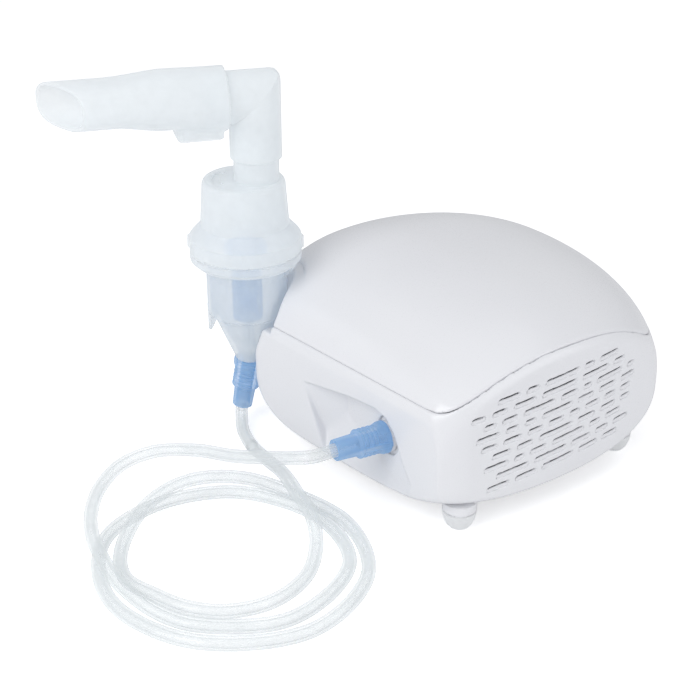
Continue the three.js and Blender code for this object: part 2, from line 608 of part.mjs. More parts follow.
// A crescent on the side of the cap away from the outlet tube.
function inletOutline(inner, outer) {
  const mid = viewHeading + Math.PI;
  const steps = 8;
  const angles = Array.from({ length: steps + 1 }, (_, i) => mid + (i / steps - 0.5) * 1.5);
  return [...angles.map((a) => [outer * Math.cos(a), outer * Math.sin(a)]),
    ...angles.reverse().map((a) => [inner * Math.cos(a), inner * Math.sin(a)])];
}

function inletFlap() {
  piece('inlet_flap', prism('z', inletOutline(10.2, 16.4), capTopZ - 2.6, capTopZ - 1.9), silicone, handset);
}

// The elbow and the mouthpiece stand on the outlet tube; their local +X runs towards the mouth.
const swivel = new THREE.Group();
swivel.position.set(...outletAxis(), 0);
swivel.rotation.z = THREE.MathUtils.degToRad(mouth.heading);
handset.add(swivel);

// Two crossing tubes that meet in a mitre.
function elbowSolid(radius, bottomZ, reach) {
  const upright = rod('z', 0, 0, radius, bottomZ, mouth.height);
  const level = rod('x', 0, mouth.height, radius, 0, reach);
  const corner = rod('z', 0, 0, radius, mouth.height - radius, mouth.height + radius)
    .intersect(rod('x', 0, mouth.height, radius, -radius, radius));
  return join([upright, level, corner]);
}

function elbow() {
  const body = elbowSolid(12.4, 144, 24).subtract(elbowSolid(10.9 + gap, 143, 25));
  piece('elbow', body, frostedPlastic, swivel);
}

// The mouthpiece bore: round at the elbow, a wide flat oval at the lips, cut aslant.
function mouthLoft(inset, from, to) {
  const length = to - from;
  const geometry = new THREE.CylinderGeometry(1, 1, length, 24, 9).rotateZ(-Math.PI / 2);
  geometry.translate(from + length / 2, 0, 0);
  return warped(geometry, (point) => {
    const { smoothstep, lerp } = THREE.MathUtils;
    const barrel = smoothstep(point.x, 22, 42);
    const lips = smoothstep(point.x, 42, 68);
    const lift = mouth.lift.barrel * barrel + (mouth.lift.lips - mouth.lift.barrel) * lips;
    const upper = lerp(mouth.halfHeight.rim, mouth.halfHeight.barrel, barrel);
    const halfHeight = lerp(upper, mouth.halfHeight.lips, lips) - inset;
    const halfWidth = mouth.halfWidth - inset;
    const end = smoothstep(point.x, 50, 90);
    const slide = mouth.slant * point.y * end * halfWidth;
    point.set(point.x - slide, point.y * halfWidth, mouth.height + lift + point.z * halfHeight);
  });
}

function mouthpiece() {
  const outer = mouthLoft(0, mouth.rimFrom, 90);
  const valveBox = box([16, 38], [-9, 9], [mouth.height - 17.5, mouth.height - 10]);
  const socket = pipe('x', 0, mouth.height, 15, 12.4 + gap, mouth.rimFrom, 26);
  const inside = mouthLoft(1.7, mouth.rimFrom - 1, 92);
  const opening = box([20, 34.5], [-6.5, 6.5], [mouth.height - 25, mouth.height - 8]);
  const flapRecess = box([18, 36.5], [-7.6, 7.6], [mouth.height - 25, mouth.height - 15.9]);
  const body = cut(join([cut(outer, [inside]), socket, cut(valveBox, [inside])]), [opening, flapRecess]);
  piece('mouthpiece', body, frostedPlastic, swivel);
}

function exhaleFlap() {
  const flap = box([18.4, 36.1], [-7.2, 7.2], [mouth.height - 17.1, mouth.height - 16.2]);
  piece('exhale_flap', flap, silicone, swivel);
}

// ---------------------------------------------------------------- hose and its two connectors
// Ribbed push-on connector along Z, from the hose end at 0 to the flange.
function connector() {
  const end = connectorLength;
  const ribs = [0, 1, 2, 3, 4].flatMap((i) => [[6, 11 + i * 2.3], [6.8, 11.9 + i * 2.3]]);
  const sleeve = [[3.8, 0], [5, 0], [5.4, 10.4], ...ribs, [7.7, end - 2.4], [7.8, end], [3.6, end], [3.6, 9],
    [3.8, 8.7]];
  const wing = [[5, 11.5], [7.6, 12.5], [8.6, end - 2], [8.3, end], [5, end]];
  const wings = [-1, 1].map((side) => {
    const outline = wing.map(([radius, along]) => [side * radius, along]);
    return prism('y', side > 0 ? outline : outline.reverse(), -1.3, 1.3);
  });
  return cut(join([turned(sleeve, 14), ...wings]), [rod('z', 0, 0, 3.6, 8.7, 30, 14)]);
}

function connectors() {
  const toFlange = new THREE.Matrix4().makeTranslation(0, 0, -port.stand - connectorLength);
  piece('hose_connector_port', connector(), bluePlastic).applyMatrix4(portFrame.clone().multiply(toFlange));
  piece('hose_connector_cup', connector(), bluePlastic, handset).applyMatrix4(nozzleFrame);
}

// The hose leaves the port, drops to the table, lies there in a flat coil and rises to the cup.
const coil = { x: 20, y: -151 };
const hoseFromPort = [[-3, -116, 32], [-24, -120, 25], [-47, -126, 20], [-63, -138, 16.5], [-66, -154, 14.5],
  [-58, -171, 13], [-44, -185, 12], [-27, -195, 11.8], [-9, -201, 11.5], [8, -203.5, 9]];
const coilTurns = [ // angle in degrees, distance from the coil's middle, height
  [-78, 49.5, 4.8], [-55, 48, 3.9], [-10, 49, 3.9], [45, 49.5, 3.9], [90, 49, 3.9], [125, 52, 3.9],
  [150, 56.5, 3.9],
  [180, 60, 3.9], [211, 62.5, 3.9], [240, 60, 3.9], [270, 59, 3.9], [308, 58.7, 3.9], [353, 60.4, 3.9],
  [398, 58.5, 3.9], [440, 56.6, 3.9], [478, 59, 4], [500, 61.5, 8], [524, 60, 11.2], [550, 56, 10],
  [580, 52.5, 4.2],
  [606, 49, 3.9], [627, 42, 3.9], [652, 39, 3.9], [678, 37, 3.9], [710, 34.5, 3.9], [750, 33, 3.9],
  [785, 36, 6.5],
  [808, 41, 10.8]];
const hoseToCup = [[4, -104, 11.4], [-14, -98, 11.2], [-34, -92, 7], [-54, -86.5, 4.1], [-68, -81, 3.9],
  [-75.5, -76.5, 4], [-79.5, -73.6, 5.4], [-82, -71.6, 8.3]];

function airHose() {
  const neck = -port.stand - connectorLength;
  const start = [alongPort(neck + 8.2), alongPort(neck - 1), alongPort(neck - 12)];
  const loops = coilTurns.map(([degrees, distance, height]) => {
    const angle = THREE.MathUtils.degToRad(degrees);
    return [coil.x + distance * Math.cos(angle), coil.y + distance * Math.sin(angle), height];
  });
  const end = [-1, 8.2].map((along) => {
    const point = new THREE.Vector3(0, 0, along).applyMatrix4(nozzleFrame);
    return [cup.x + point.x, cup.y + point.y, point.z];
  });
  const points = [...start, ...hoseFromPort, ...loops, ...hoseToCup, ...end];
  piece('air_hose', tube(points, hose.radius, hose.bore, hose.sides, hose.steps), clearVinyl);
}

housing();
outletPort();
powerInlet();
powerSwitch();
airFilter();
compressorFrame();
motorStator();
motorRotor();
crankAndPiston();
cylinderAndHead();
innerTubes();
medicineCup();
jetBaffle();
cupCap();
inletFlap();
elbow();
mouthpiece();
exhaleFlap();
connectors();
airHose();
root.position.set(-footprintMiddle.x, -footprintMiddle.y, 0);

export default root;
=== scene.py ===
"""Visual model of a tabletop nebulizer: a domed compressor housing, an air hose and a medicine cup handset.

Shapes are drawn in millimetres about a point on the table under the housing. The air outlet's face looks
along -Y and the louvred face along +X. to_frame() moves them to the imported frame, in metres.
"""
import json
import math

import bpy
import numpy as np
from mathutils import Matrix, Vector


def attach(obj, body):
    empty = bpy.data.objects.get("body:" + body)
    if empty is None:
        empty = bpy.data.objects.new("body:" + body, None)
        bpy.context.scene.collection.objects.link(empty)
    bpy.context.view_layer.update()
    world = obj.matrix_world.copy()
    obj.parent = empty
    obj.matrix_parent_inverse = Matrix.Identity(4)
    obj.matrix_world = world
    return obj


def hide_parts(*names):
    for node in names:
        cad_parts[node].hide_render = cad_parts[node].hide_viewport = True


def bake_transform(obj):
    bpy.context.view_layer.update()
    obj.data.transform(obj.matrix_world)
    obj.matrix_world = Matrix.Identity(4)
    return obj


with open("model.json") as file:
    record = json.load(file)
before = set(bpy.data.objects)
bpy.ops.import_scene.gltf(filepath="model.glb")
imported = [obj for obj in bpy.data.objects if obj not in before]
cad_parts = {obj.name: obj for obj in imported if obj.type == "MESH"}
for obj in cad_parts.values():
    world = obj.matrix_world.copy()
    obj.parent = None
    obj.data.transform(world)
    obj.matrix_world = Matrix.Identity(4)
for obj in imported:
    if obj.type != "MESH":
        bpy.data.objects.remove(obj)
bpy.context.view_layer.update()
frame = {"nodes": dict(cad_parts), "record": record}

# ---------------------------------------------------------------- driving dimensions, in millimetres
MILLIMETRE = 0.001
FRAME_ORIGIN = np.array([-25.0, -55.7, 0.0])
BEYOND = 500.0

WALL = 2.5
DOME = {"centre": (-16, 3.5, 38.5), "left": 74.3, "right": 116.3, "front": 110.8, "back": 98.4,
        "rise": 57, "drop": 33.5, "rise_power": 3.2, "drop_power": 3.0, "lean_x": -0.0057, "lean_y": -0.001}
UNDERSIDE_Z = 9.5
PORT_FACE_Y = -71.5
BROW = {"z": 60, "slope": 0.53, "right_x": 63, "right_slope": 1.6, "corner": 14}
VENT = {"x": 76.3, "mid_y": 24, "bow_radius": 480}
CROWN = {"ridge_y": -63.5, "ridge_z": 74.7, "slope": 0.445, "fall": 0.054}
PARTING = {"z": 63.5, "panel_depth": 3, "corner": 8, "half_gap": 0.1}

CUP = {"x": -80, "y": -67}
NEST_OUTLINE = [(-3, -50), (9.9, -50), (9.9, 44), (17.2, 60), (22.8, 60), (22.8, 84), (28.3, 84), (28.3, 200),
                (-3, 200)]
LEG_HEADINGS = (40, 220)
PORT = {"x": 26, "z": 38, "wall_y": -66.5, "turn": -12, "spot_radius": 9.2, "stand": 3}
REAR = {"y": 88, "x0": -52, "x1": 22, "z0": 17, "z1": 52, "fitting_z": 34.5,
        "switch_x": -34, "inlet_x": -12, "filter_x": 9}
FOOT_PLACES = ((60, -54), (60, 54), (-52, 52), (-50, -46))
POST_PLACES = ((44, -44), (28, 66), (-48, 62), (-28, -50))
POST = {"radius": 4.5, "bore": 1.3, "bottom_z": 14.5}

LOUVRE = {"low_z": 24.4, "pitch": 5.5, "rise": 0.045, "bridge": 5.2, "half_height": 0.55}
LOUVRE_ROWS = (  # from the lowest row up: where the row starts, and the lengths of its slots
    (-47, (11, 11, 18, 11, 9)),
    (-42, (17, 18, 11, 7, 9)),
    (-49, (12, 4, 8, 19, 6, 9)),
    (-45, (9, 8, 19, 10, 9, 5)),
    (-51, (7, 9, 7, 8, 5, 8, 6, 6)),
    (-54, (11, 6, 5, 17, 9, 10, 8)),
    (-50, (5, 7, 17, 9, 4, 16, 3)),
    (-57, (6, 7, 11, 20, 16, 6)),
    (-43, (11, 6, 19, 5, 11)),
)

HEADING = math.radians(49.4)  # the outlet tube stands on this side of the cup's axis
COLLAR_RADIUS = 27.3
COLLAR_BOTTOM_Z = 90
OUTLET = {"offset": 6.4, "radius": 10.9, "top_z": 156}
CAP_TOP_Z = 133.5
MOUTH = {"z": 174, "turn": 244.5, "start": 14, "end": 90, "slant": 0.6, "half_width": 16,
         "barrel_lift": 1.4, "lip_lift": 1.8, "rim_height": 15, "barrel_height": 13.95, "lip_height": 10.4}
ELBOW = {"radius": 12.4, "bore": 11.2, "bottom_z": 144, "reach": 24}
CONNECTOR_LENGTH = 26
NOZZLE = {"lean": 10, "flange_z": 35.7}
HOSE = {"radius": 3.2, "bore": 2.0, "sides": 24, "steps": 12}


# ---------------------------------------------------------------- placing
def spin(degrees, axis):
    return Matrix.Rotation(math.radians(degrees), 4, axis)


def shift(x, y, z):
    return Matrix.Translation((x, y, z))


HANDSET_PLACE = shift(CUP["x"], CUP["y"], 0)
OUTLET_AXIS = (OUTLET["offset"] * math.cos(HEADING), OUTLET["offset"] * math.sin(HEADING))
SWIVEL_PLACE = HANDSET_PLACE @ shift(*OUTLET_AXIS, 0) @ spin(MOUTH["turn"], "Z")
PORT_PLACE = shift(PORT["x"], PORT["wall_y"], PORT["z"]) @ spin(PORT["turn"], "Z") @ spin(-90, "X")
PORT_CONNECTOR_PLACE = PORT_PLACE @ shift(0, 0, -PORT["stand"] - CONNECTOR_LENGTH)
LEAN_AXIS = Vector((-math.sin(HEADING), math.cos(HEADING), 0))
NOZZLE_PLACE = HANDSET_PLACE @ shift(0, 0, NOZZLE["flange_z"]) @ spin(NOZZLE["lean"], LEAN_AXIS)
NOZZLE_PLACE = NOZZLE_PLACE @ shift(0, 0, -CONNECTOR_LENGTH)


def moved(points, place):
    grid = np.array(place)
    return points @ grid[:3, :3].T + grid[:3, 3]


def to_frame(points):
    return (points - FRAME_ORIGIN) * MILLIMETRE


# ---------------------------------------------------------------- fields: signed distances, negative inside
def smooth_max(a, b, blend):
    """The larger of two fields, with the edge between them rounded over about blend millimetres."""
    overlap = np.maximum(blend - np.abs(a - b), 0) / blend
    return np.maximum(a, b) + overlap ** 2 * blend / 4


def smooth_min(a, b, blend):
    return -smooth_max(-a, -b, blend)


def smooth_step(value, low, high):
    t = np.clip((value - low) / (high - low), 0, 1)
    return t * t * (3 - 2 * t)


def outline_field(u, v, corners):
    """Distance to a closed outline in a plane."""
    nearest = np.inf
    inside = False
    for (u0, v0), (u1, v1) in zip(corners, corners[1:] + corners[:1]):
        side_u, side_v = u1 - u0, v1 - v0
        along = ((u - u0) * side_u + (v - v0) * side_v) / (side_u ** 2 + side_v ** 2)
        along = np.clip(along, 0, 1)
        nearest = np.minimum(nearest, (u - u0 - along * side_u) ** 2 + (v - v0 - along * side_v) ** 2)
        if side_v:
            crosses = ((v0 > v) != (v1 > v)) & (u < u0 + (v - v0) * side_u / side_v)
            inside = inside ^ crosses
    return np.where(inside, -1, 1) * np.sqrt(nearest)


def turned_field(x, y, z, corners):
    """A body of revolution about Z from its [radius, height] outline."""
    return outline_field(np.hypot(x, y), z, corners)


def panel_field(u, v, half_u, half_v, radius):
    """A rounded rectangle about the middle of a plane."""
    across = np.maximum(np.abs(u) - half_u + radius, 0)
    up = np.maximum(np.abs(v) - half_v + radius, 0)
    inner = np.maximum(np.abs(u) - half_u, np.abs(v) - half_v)
    return np.where(inner > -radius, np.hypot(across, up) - radius, inner)


def disc_field(u, v, radius):
    return np.hypot(u, v) - radius


def arc_distance(x, y, degrees):
    """How far a point lies from a heading, and how far round to either side of it."""
    angle = math.radians(degrees)
    along = x * math.cos(angle) + y * math.sin(angle)
    across = y * math.cos(angle) - x * math.sin(angle)
    return np.hypot(x, y), np.arctan2(across, along)


def between(value, low, high):
    return np.maximum(low - value, value - high)


# ---------------------------------------------------------------- surfaces from fields
EDGE_STARTS = ((0, 0), (1, 0), (0, 1), (1, 1))
QUAD_CELLS = ((-1, -1), (0, -1), (0, 0), (-1, 0))


def crossing_points(values, coordinates, cells):
    """The middle of the places where the surface crosses each cell's edges."""
    total = np.zeros((len(cells), 3))
    count = np.zeros(len(cells))
    for axis in range(3):
        sides = [(axis + 1) % 3, (axis + 2) % 3]
        for offsets in EDGE_STARTS:
            start = cells.copy()
            start[:, sides] += offsets
            end = start.copy()
            end[:, axis] += 1
            low, high = values[tuple(start.T)], values[tuple(end.T)]
            crossed = (low < 0) != (high < 0)
            share = np.where(crossed, low / np.where(crossed, low - high, 1), 0)
            first = np.stack([coordinates[k][start[:, k]] for k in range(3)], 1)
            last = np.stack([coordinates[k][end[:, k]] for k in range(3)], 1)
            total += np.where(crossed[:, None], first + share[:, None] * (last - first), 0)
            count += crossed
    return total / count[:, None]


def crossing_quads(inside, number):
    """One face for each grid edge that the surface crosses, facing outwards."""
    faces = []
    for axis in range(3):
        sides = [(axis + 1) % 3, (axis + 2) % 3]
        low = np.moveaxis(np.moveaxis(inside, axis, 0)[:-1], 0, axis)
        high = np.moveaxis(np.moveaxis(inside, axis, 0)[1:], 0, axis)
        starts = np.argwhere(low != high)
        room = np.all((starts[:, sides] > 0) & (starts[:, sides] < np.array(inside.shape)[sides] - 1), axis=1)
        starts = starts[room]
        ring = []
        for offsets in QUAD_CELLS:
            cell = starts.copy()
            cell[:, sides] += offsets
            ring.append(number[tuple(cell.T)])
        quads = np.stack(ring, 1)
        leaving = low[tuple(starts.T)]
        faces.append(np.where(leaving[:, None], quads, quads[:, ::-1]))
    return np.concatenate(faces)


def slope_of(field, points, reach=0.02):
    steps = np.eye(3) * reach
    return np.stack([field(*(points + s).T) - field(*(points - s).T) for s in steps], 1) / (2 * reach)


def surface(field, x, y, z, settle=3):
    """Vertices, faces and normals of a field's zero surface over a grid given by its coordinates."""
    values = field(x[:, None, None], y[None, :, None], z[None, None, :])
    inside = values < 0
    count = sum(inside[a:a + len(x) - 1, b:b + len(y) - 1, c:c + len(z) - 1].astype(np.int8)
                for a in (0, 1) for b in (0, 1) for c in (0, 1))
    cells = np.argwhere((count > 0) & (count < 8))
    number = np.full(count.shape, -1)
    number[tuple(cells.T)] = np.arange(len(cells))
    points = crossing_points(values, (x, y, z), cells)
    limit = 0.6 * min(np.diff(x).min(), np.diff(y).min(), np.diff(z).min())
    for _ in range(settle):
        slope = slope_of(field, points)
        steepness = np.maximum((slope ** 2).sum(1), 0.05)
        move = -(field(*points.T) / steepness)[:, None] * slope
        length = np.linalg.norm(move, axis=1, keepdims=True)
        points = points + move * np.minimum(1, limit / np.maximum(length, 1e-9))
    normals = slope_of(field, points)
    normals /= np.maximum(np.linalg.norm(normals, axis=1, keepdims=True), 1e-9)
    return points, crossing_quads(inside, number), normals


def sculpted(field, low, high, step, place=Matrix.Identity(4)):
    """The surface of a field inside a box, placed in the drawing."""
    axes = [np.arange(a - step, b + 2 * step, step) for a, b in zip(low, high)]
    points, faces, normals = surface(field, *axes)
    turn = np.array(place)[:3, :3]
    return moved(points, place), faces, normals @ turn.T


# ---------------------------------------------------------------- pieces
def piece(name, parts, material, body, nodes, slot, second=None, is_second=None):
    """One object from several closed surfaces, riding on a body and standing for CAD nodes.

    Faces whose corners are all picked out by is_second, from the drawing's points, get the second material.
    """
    drawn = np.concatenate([points for points, _, _ in parts])
    offsets = np.cumsum([0] + [len(points) for points, _, _ in parts])
    points = to_frame(drawn)
    faces = []
    for (_, part_faces, _), start in zip(parts, offsets):
        faces.extend((part_faces + start).tolist())
    mesh = bpy.data.meshes.new(name)
    mesh.from_pydata(points.tolist(), [], faces)
    mesh.polygons.foreach_set("use_smooth", np.ones(len(faces), bool))
    mesh.normals_split_custom_set_from_vertices(np.concatenate([normals for _, _, normals in parts]).tolist())
    mesh.materials.append(material)
    if second:
        mesh.materials.append(second)
        picked = is_second(*drawn.T)
        mesh.polygons.foreach_set("material_index", [int(picked[list(face)].all()) for face in faces])
    thing = bpy.data.objects.new(name, mesh)
    bpy.context.scene.collection.objects.link(thing)
    if body:
        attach(thing, body)
    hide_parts(*nodes)
    return thing


# ---------------------------------------------------------------- materials
class Shader:
    """A node material under construction."""

    def __init__(self, name):
        self.material = bpy.data.materials.new(name)
        self.material.use_nodes = True
        self.tree = self.material.node_tree
        self.tree.nodes.clear()
        self.output = self.node("ShaderNodeOutputMaterial")

    def node(self, kind, links=(), **settings):
        made = self.tree.nodes.new(kind)
        for key, value in settings.items():
            setattr(made, key, value)
        for socket, source in dict(links).items():
            if isinstance(source, bpy.types.NodeSocket):
                self.tree.links.new(source, made.inputs[socket])
            else:
                made.inputs[socket].default_value = source
        return made

    def place(self):
        return self.node("ShaderNodeTexCoord").outputs["Object"]

    def noise(self, scale, detail=3, stretch=None):
        place = self.place()
        if stretch:
            place = self.node("ShaderNodeVectorMath", {0: place, 1: stretch}, operation="MULTIPLY").outputs[0]
        inputs = {"Vector": place, "Scale": scale, "Detail": detail}
        return self.node("ShaderNodeTexNoise", inputs).outputs["Fac"]

    def ranged(self, value, low, high, from_low=0.3, from_high=0.7):
        links = {"Value": value, "From Min": from_low, "From Max": from_high, "To Min": low, "To Max": high}
        return self.node("ShaderNodeMapRange", links).outputs["Result"]

    def tinted(self, value, dark, light):
        mix = self.node("ShaderNodeMix", data_type="RGBA")
        self.tree.links.new(value, mix.inputs["Factor"])
        mix.inputs["A"].default_value = (*dark, 1)
        mix.inputs["B"].default_value = (*light, 1)
        return mix.outputs["Result"]

    def bump(self, height, strength, distance):
        links = {"Height": height, "Strength": strength, "Distance": distance}
        return self.node("ShaderNodeBump", links).outputs["Normal"]

    def principled(self, **inputs):
        named = {key.replace("_", " "): value for key, value in inputs.items()}
        return self.node("ShaderNodeBsdfPrincipled", named).outputs[0]

    def finish(self, shader):
        self.tree.links.new(shader, self.output.inputs["Surface"])
        return self.material


def moulded(name, dark, light, roughness, grain=2600, depth=0.00002, coat=0.0):
    """Injection-moulded plastic: a faint tone drift and a fine moulded grain."""
    s = Shader(name)
    drift = s.noise(14, 2)
    grained = s.noise(grain, 2)
    return s.finish(s.principled(
        Base_Color=s.tinted(s.ranged(drift, 0, 1), dark, light),
        Roughness=s.ranged(grained, roughness * 0.88, roughness * 1.12),
        Coat_Weight=coat, Coat_Roughness=0.12,
        Normal=s.bump(grained, 0.35, depth)))


def see_through(name, colour, face_cover, edge_cover, roughness, painted_glow, grain=1500):
    """Translucent plastic: thin face on, denser at its edges, with a painted glow, an emission standing in
    for light scattered inside.
    """
    s = Shader(name)
    cloud = s.noise(90, 4)
    edge = s.node("ShaderNodeLayerWeight", {"Blend": 0.35}).outputs["Facing"]
    cover = s.ranged(edge, face_cover, edge_cover, 0.05, 0.85)
    drift = s.ranged(cloud, -0.03, 0.03)
    cover = s.node("ShaderNodeMath", {0: cover, 1: drift}, operation="ADD", use_clamp=True).outputs[0]
    # Painted glow: the skin's emission brightens the plastic, standing in for light scattered inside it.
    skin = s.principled(Base_Color=(*colour, 1), Roughness=roughness, Specular_IOR_Level=0.6,
                        Emission_Color=(*colour, 1), Emission_Strength=painted_glow,
                        Normal=s.bump(s.noise(grain, 2), 0.2, 0.00002))
    glow = s.node("ShaderNodeBsdfTranslucent", {"Color": (*colour, 1)}).outputs[0]
    solid = s.node("ShaderNodeMixShader", {0: 0.4, 1: skin, 2: glow}).outputs[0]
    clear = s.node("ShaderNodeBsdfTransparent", {"Color": (1, 1, 1, 1)}).outputs[0]
    return s.finish(s.node("ShaderNodeMixShader", {0: cover, 1: clear, 2: solid}).outputs[0])


def metal(name, dark, light, roughness, stretch=(1, 1, 1), scale=900):
    """Bare metal with grain along one way and uneven polish."""
    s = Shader(name)
    streak = s.noise(scale, 4, stretch)
    return s.finish(s.principled(
        Base_Color=s.tinted(s.ranged(streak, 0, 1), dark, light), Metallic=1.0,
        Roughness=s.ranged(streak, roughness * 0.7, roughness * 1.3), Normal=s.bump(streak, 0.4, 0.00003)))


def fine_lines(name, dark, light, axis, spacing, metallic, roughness):
    """Thin stacked sheets or wound wire: straight lines across one axis."""
    s = Shader(name)
    stretch = [0.0, 0.0, 0.0]
    stretch[axis] = 2 * math.pi / spacing
    inputs = {0: s.place(), 1: stretch}
    along = s.node("ShaderNodeVectorMath", inputs, operation="DOT_PRODUCT").outputs["Value"]
    wave = s.node("ShaderNodeMath", {0: along}, operation="SINE").outputs[0]
    height = s.ranged(wave, 0, 1, -1, 1)
    return s.finish(s.principled(Base_Color=s.tinted(height, dark, light), Metallic=metallic,
                                 Roughness=roughness, Normal=s.bump(height, 0.7, 0.0002)))


def felt(name):
    s = Shader(name)
    fibres = s.noise(1800, 6)
    colour = s.tinted(s.ranged(fibres, 0, 1), (0.72, 0.71, 0.66), (0.9, 0.89, 0.85))
    return s.finish(s.principled(Base_Color=colour,
                                 Roughness=0.95, Sheen_Weight=0.4, Normal=s.bump(fibres, 0.8, 0.0004)))


def make_materials():
    return {
        "white_housing": moulded("gloss_white_plastic", (0.80, 0.805, 0.835), (0.82, 0.825, 0.85), 0.3,
                                 coat=0.25),
        # Painted shade: a dark matt grey for the inner faces behind the louvres, standing in for the shade in
        # the slots.
        "painted_shade_inside": moulded("painted_shade_inside_plastic", (0.16, 0.165, 0.18), (0.2, 0.205, 0.22), 0.8),
        "grey_plastic": moulded("satin_grey_plastic", (0.52, 0.53, 0.56), (0.56, 0.57, 0.6), 0.45),
        "dark_plastic": moulded("satin_dark_plastic", (0.018, 0.019, 0.022), (0.03, 0.031, 0.035), 0.42),
        "black_rubber": moulded("black_rubber", (0.012, 0.012, 0.013), (0.024, 0.024, 0.026), 0.75,
                                grain=1200),
        # The last number of each see-through finish is its painted glow, an emission that lightens it.
        "foot_plastic": see_through("translucent_foot_plastic", (0.84, 0.85, 0.86), 0.8, 0.97, 0.3, 0.22),
        "frosted_plastic": see_through("frosted_plastic", (0.85, 0.875, 0.89), 0.58, 0.84, 0.32, 0.18),
        "cup_plastic": see_through("frosted_cup_plastic", (0.80, 0.84, 0.87), 0.4, 0.72, 0.32, 0.14),
        "blue_plastic": see_through("translucent_blue_plastic", (0.27, 0.47, 0.72), 0.42, 0.88, 0.2, 0.3),
        "clear_vinyl": see_through("clear_vinyl", (0.76, 0.79, 0.8), 0.18, 0.6, 0.12, 0.17),
        "silicone": see_through("milky_silicone", (0.80, 0.82, 0.83), 0.7, 0.9, 0.5, 0.25),
        "steel": metal("zinc_plated_steel", (0.42, 0.43, 0.45), (0.6, 0.61, 0.63), 0.32, (1, 1, 0.15)),
        "cast_aluminium": metal("cast_aluminium", (0.5, 0.51, 0.53), (0.66, 0.67, 0.69), 0.45, scale=500),
        "bearing_bronze": metal("sintered_bronze", (0.42, 0.29, 0.11), (0.6, 0.44, 0.2), 0.4, scale=1500),
        "laminations": fine_lines("steel_laminations", (0.08, 0.085, 0.095), (0.3, 0.31, 0.33), 0, 0.0005,
                                  1.0, 0.5),
        "copper_winding": fine_lines("copper_winding", (0.25, 0.08, 0.03), (0.6, 0.25, 0.1), 1, 0.0007,
                                     1.0, 0.35),
        "filter_felt": felt("white_felt"),
    }


# ---------------------------------------------------------------- housing
def vent_x(y):
    return VENT["x"] - (y - VENT["mid_y"]) ** 2 / (2 * VENT["bow_radius"])


def dome_field(x, y, z, inset):
    """The pebble shape: ellipses in plan that round off above and below the centre height."""
    cx, cy, cz = DOME["centre"]
    rise = np.maximum(z - cz, 0)
    dx = x - cx - DOME["lean_x"] * rise ** 2
    dy = y - cy - DOME["lean_y"] * rise ** 2
    dz = z - cz
    flat = np.hypot(dx / (np.where(dx > 0, DOME["right"], DOME["left"]) - inset),
                    dy / (np.where(dy > 0, DOME["back"], DOME["front"]) - inset))
    level = np.abs(dz) / (np.where(dz > 0, DOME["rise"], DOME["drop"]) - inset)
    power = np.where(dz > 0, DOME["rise_power"], DOME["drop_power"])
    gauge = (flat ** power + level ** power) ** (1 / power)
    distance = np.sqrt(dx ** 2 + dy ** 2 + dz ** 2) + 0.001
    return distance * (1 - 1 / np.maximum(gauge, 1e-6))


def front_field(x, y, z):
    """The flat front face, which leans back above the brow and past its right-hand end."""
    above = (z - BROW["z"]) * BROW["slope"]
    beside = (x - BROW["right_x"]) * BROW["right_slope"]
    return PORT_FACE_Y - y + smooth_max(smooth_max(above, beside, BROW["corner"]), 0, 1.2)


SCOOP_FRONT = [(-31, 44), (2, 49.6), (20, 51), (28, 49), (33.5, 43), (38.5, 32), (45, 22),
                (41, 10), (38.5, 0),
               (-10.3, 0), (-15, 10)]
SCOOP_PLAN = [(-31, PORT_FACE_Y), (-31, -92), (45, -92), (45, PORT_FACE_Y), (-10, -61)]
SCOOP_SLOPE = [(-92, 0), (-76, 0), (-56, 41), (-56, 70), (-92, 70)]


def port_scoop_field(x, y, z):
    """The scooped recess round the air outlet, with a round flat for the outlet's flange."""
    front = outline_field(x, z, SCOOP_FRONT)
    plan = outline_field(x, y, SCOOP_PLAN)
    slope = outline_field(y, z, SCOOP_SLOPE)
    scoop = smooth_max(smooth_max(front, plan, 1.5), slope, 1.5)
    into = PORT_PLACE.col[2]
    across = PORT_PLACE.col[0]
    dx, dy, dz = x - PORT["x"], y - PORT["wall_y"], z - PORT["z"]
    depth = dx * into[0] + dy * into[1]
    aside = dx * across[0] + dy * across[1]
    spot = np.maximum(disc_field(aside, dz, PORT["spot_radius"]), depth)
    return smooth_min(scoop, spot, 0.6)


def crown_field(x, y, z):
    """The slope over the ridge that runs along the top of the brow."""
    ridge_z = CROWN["ridge_z"] - CROWN["fall"] * x
    return (z - ridge_z - CROWN["slope"] * (y - CROWN["ridge_y"])) / math.hypot(1, CROWN["slope"])


def cup_nest_field(x, y, z):
    """The collar's seat, the well and funnel under it, and the pocket for one leg."""
    aside, turn = arc_distance(x - CUP["x"], y - CUP["y"], LEG_HEADINGS[0])
    well = outline_field(aside, z, NEST_OUTLINE)
    pocket = np.maximum(between(aside, 12, 20.8), np.abs(turn) * 19 - 9)
    return np.minimum(well, np.maximum(pocket, between(z, 50.5, 61)))


def rear_recess_field(x, y, z):
    half_x, half_z = (REAR["x1"] - REAR["x0"]) / 2, (REAR["z1"] - REAR["z0"]) / 2
    panel = panel_field(x - REAR["x0"] - half_x, z - REAR["z0"] - half_z, half_x, half_z, 6)
    return np.maximum(panel, REAR["y"] - y)


def hull_field(x, y, z, inset=0.0):
    """The skin of the whole housing, or a skin inside it by the inset."""
    body = smooth_max(dome_field(x, y, z, inset), crown_field(x, y, z) + inset, 14)
    body = smooth_max(body, front_field(x, y, z) + inset, 4)
    body = smooth_max(body, x - vent_x(y) + inset, 4.5)
    body = smooth_max(body, UNDERSIDE_Z - z + inset, 5)
    body = smooth_max(body, inset - port_scoop_field(x, y, z), 1.6)
    body = smooth_max(body, inset - cup_nest_field(x, y, z), 1.6)
    return smooth_max(body, inset - rear_recess_field(x, y, z), 1.2)


def shell_field(x, y, z):
    return np.maximum(hull_field(x, y, z), -hull_field(x, y, z, WALL))


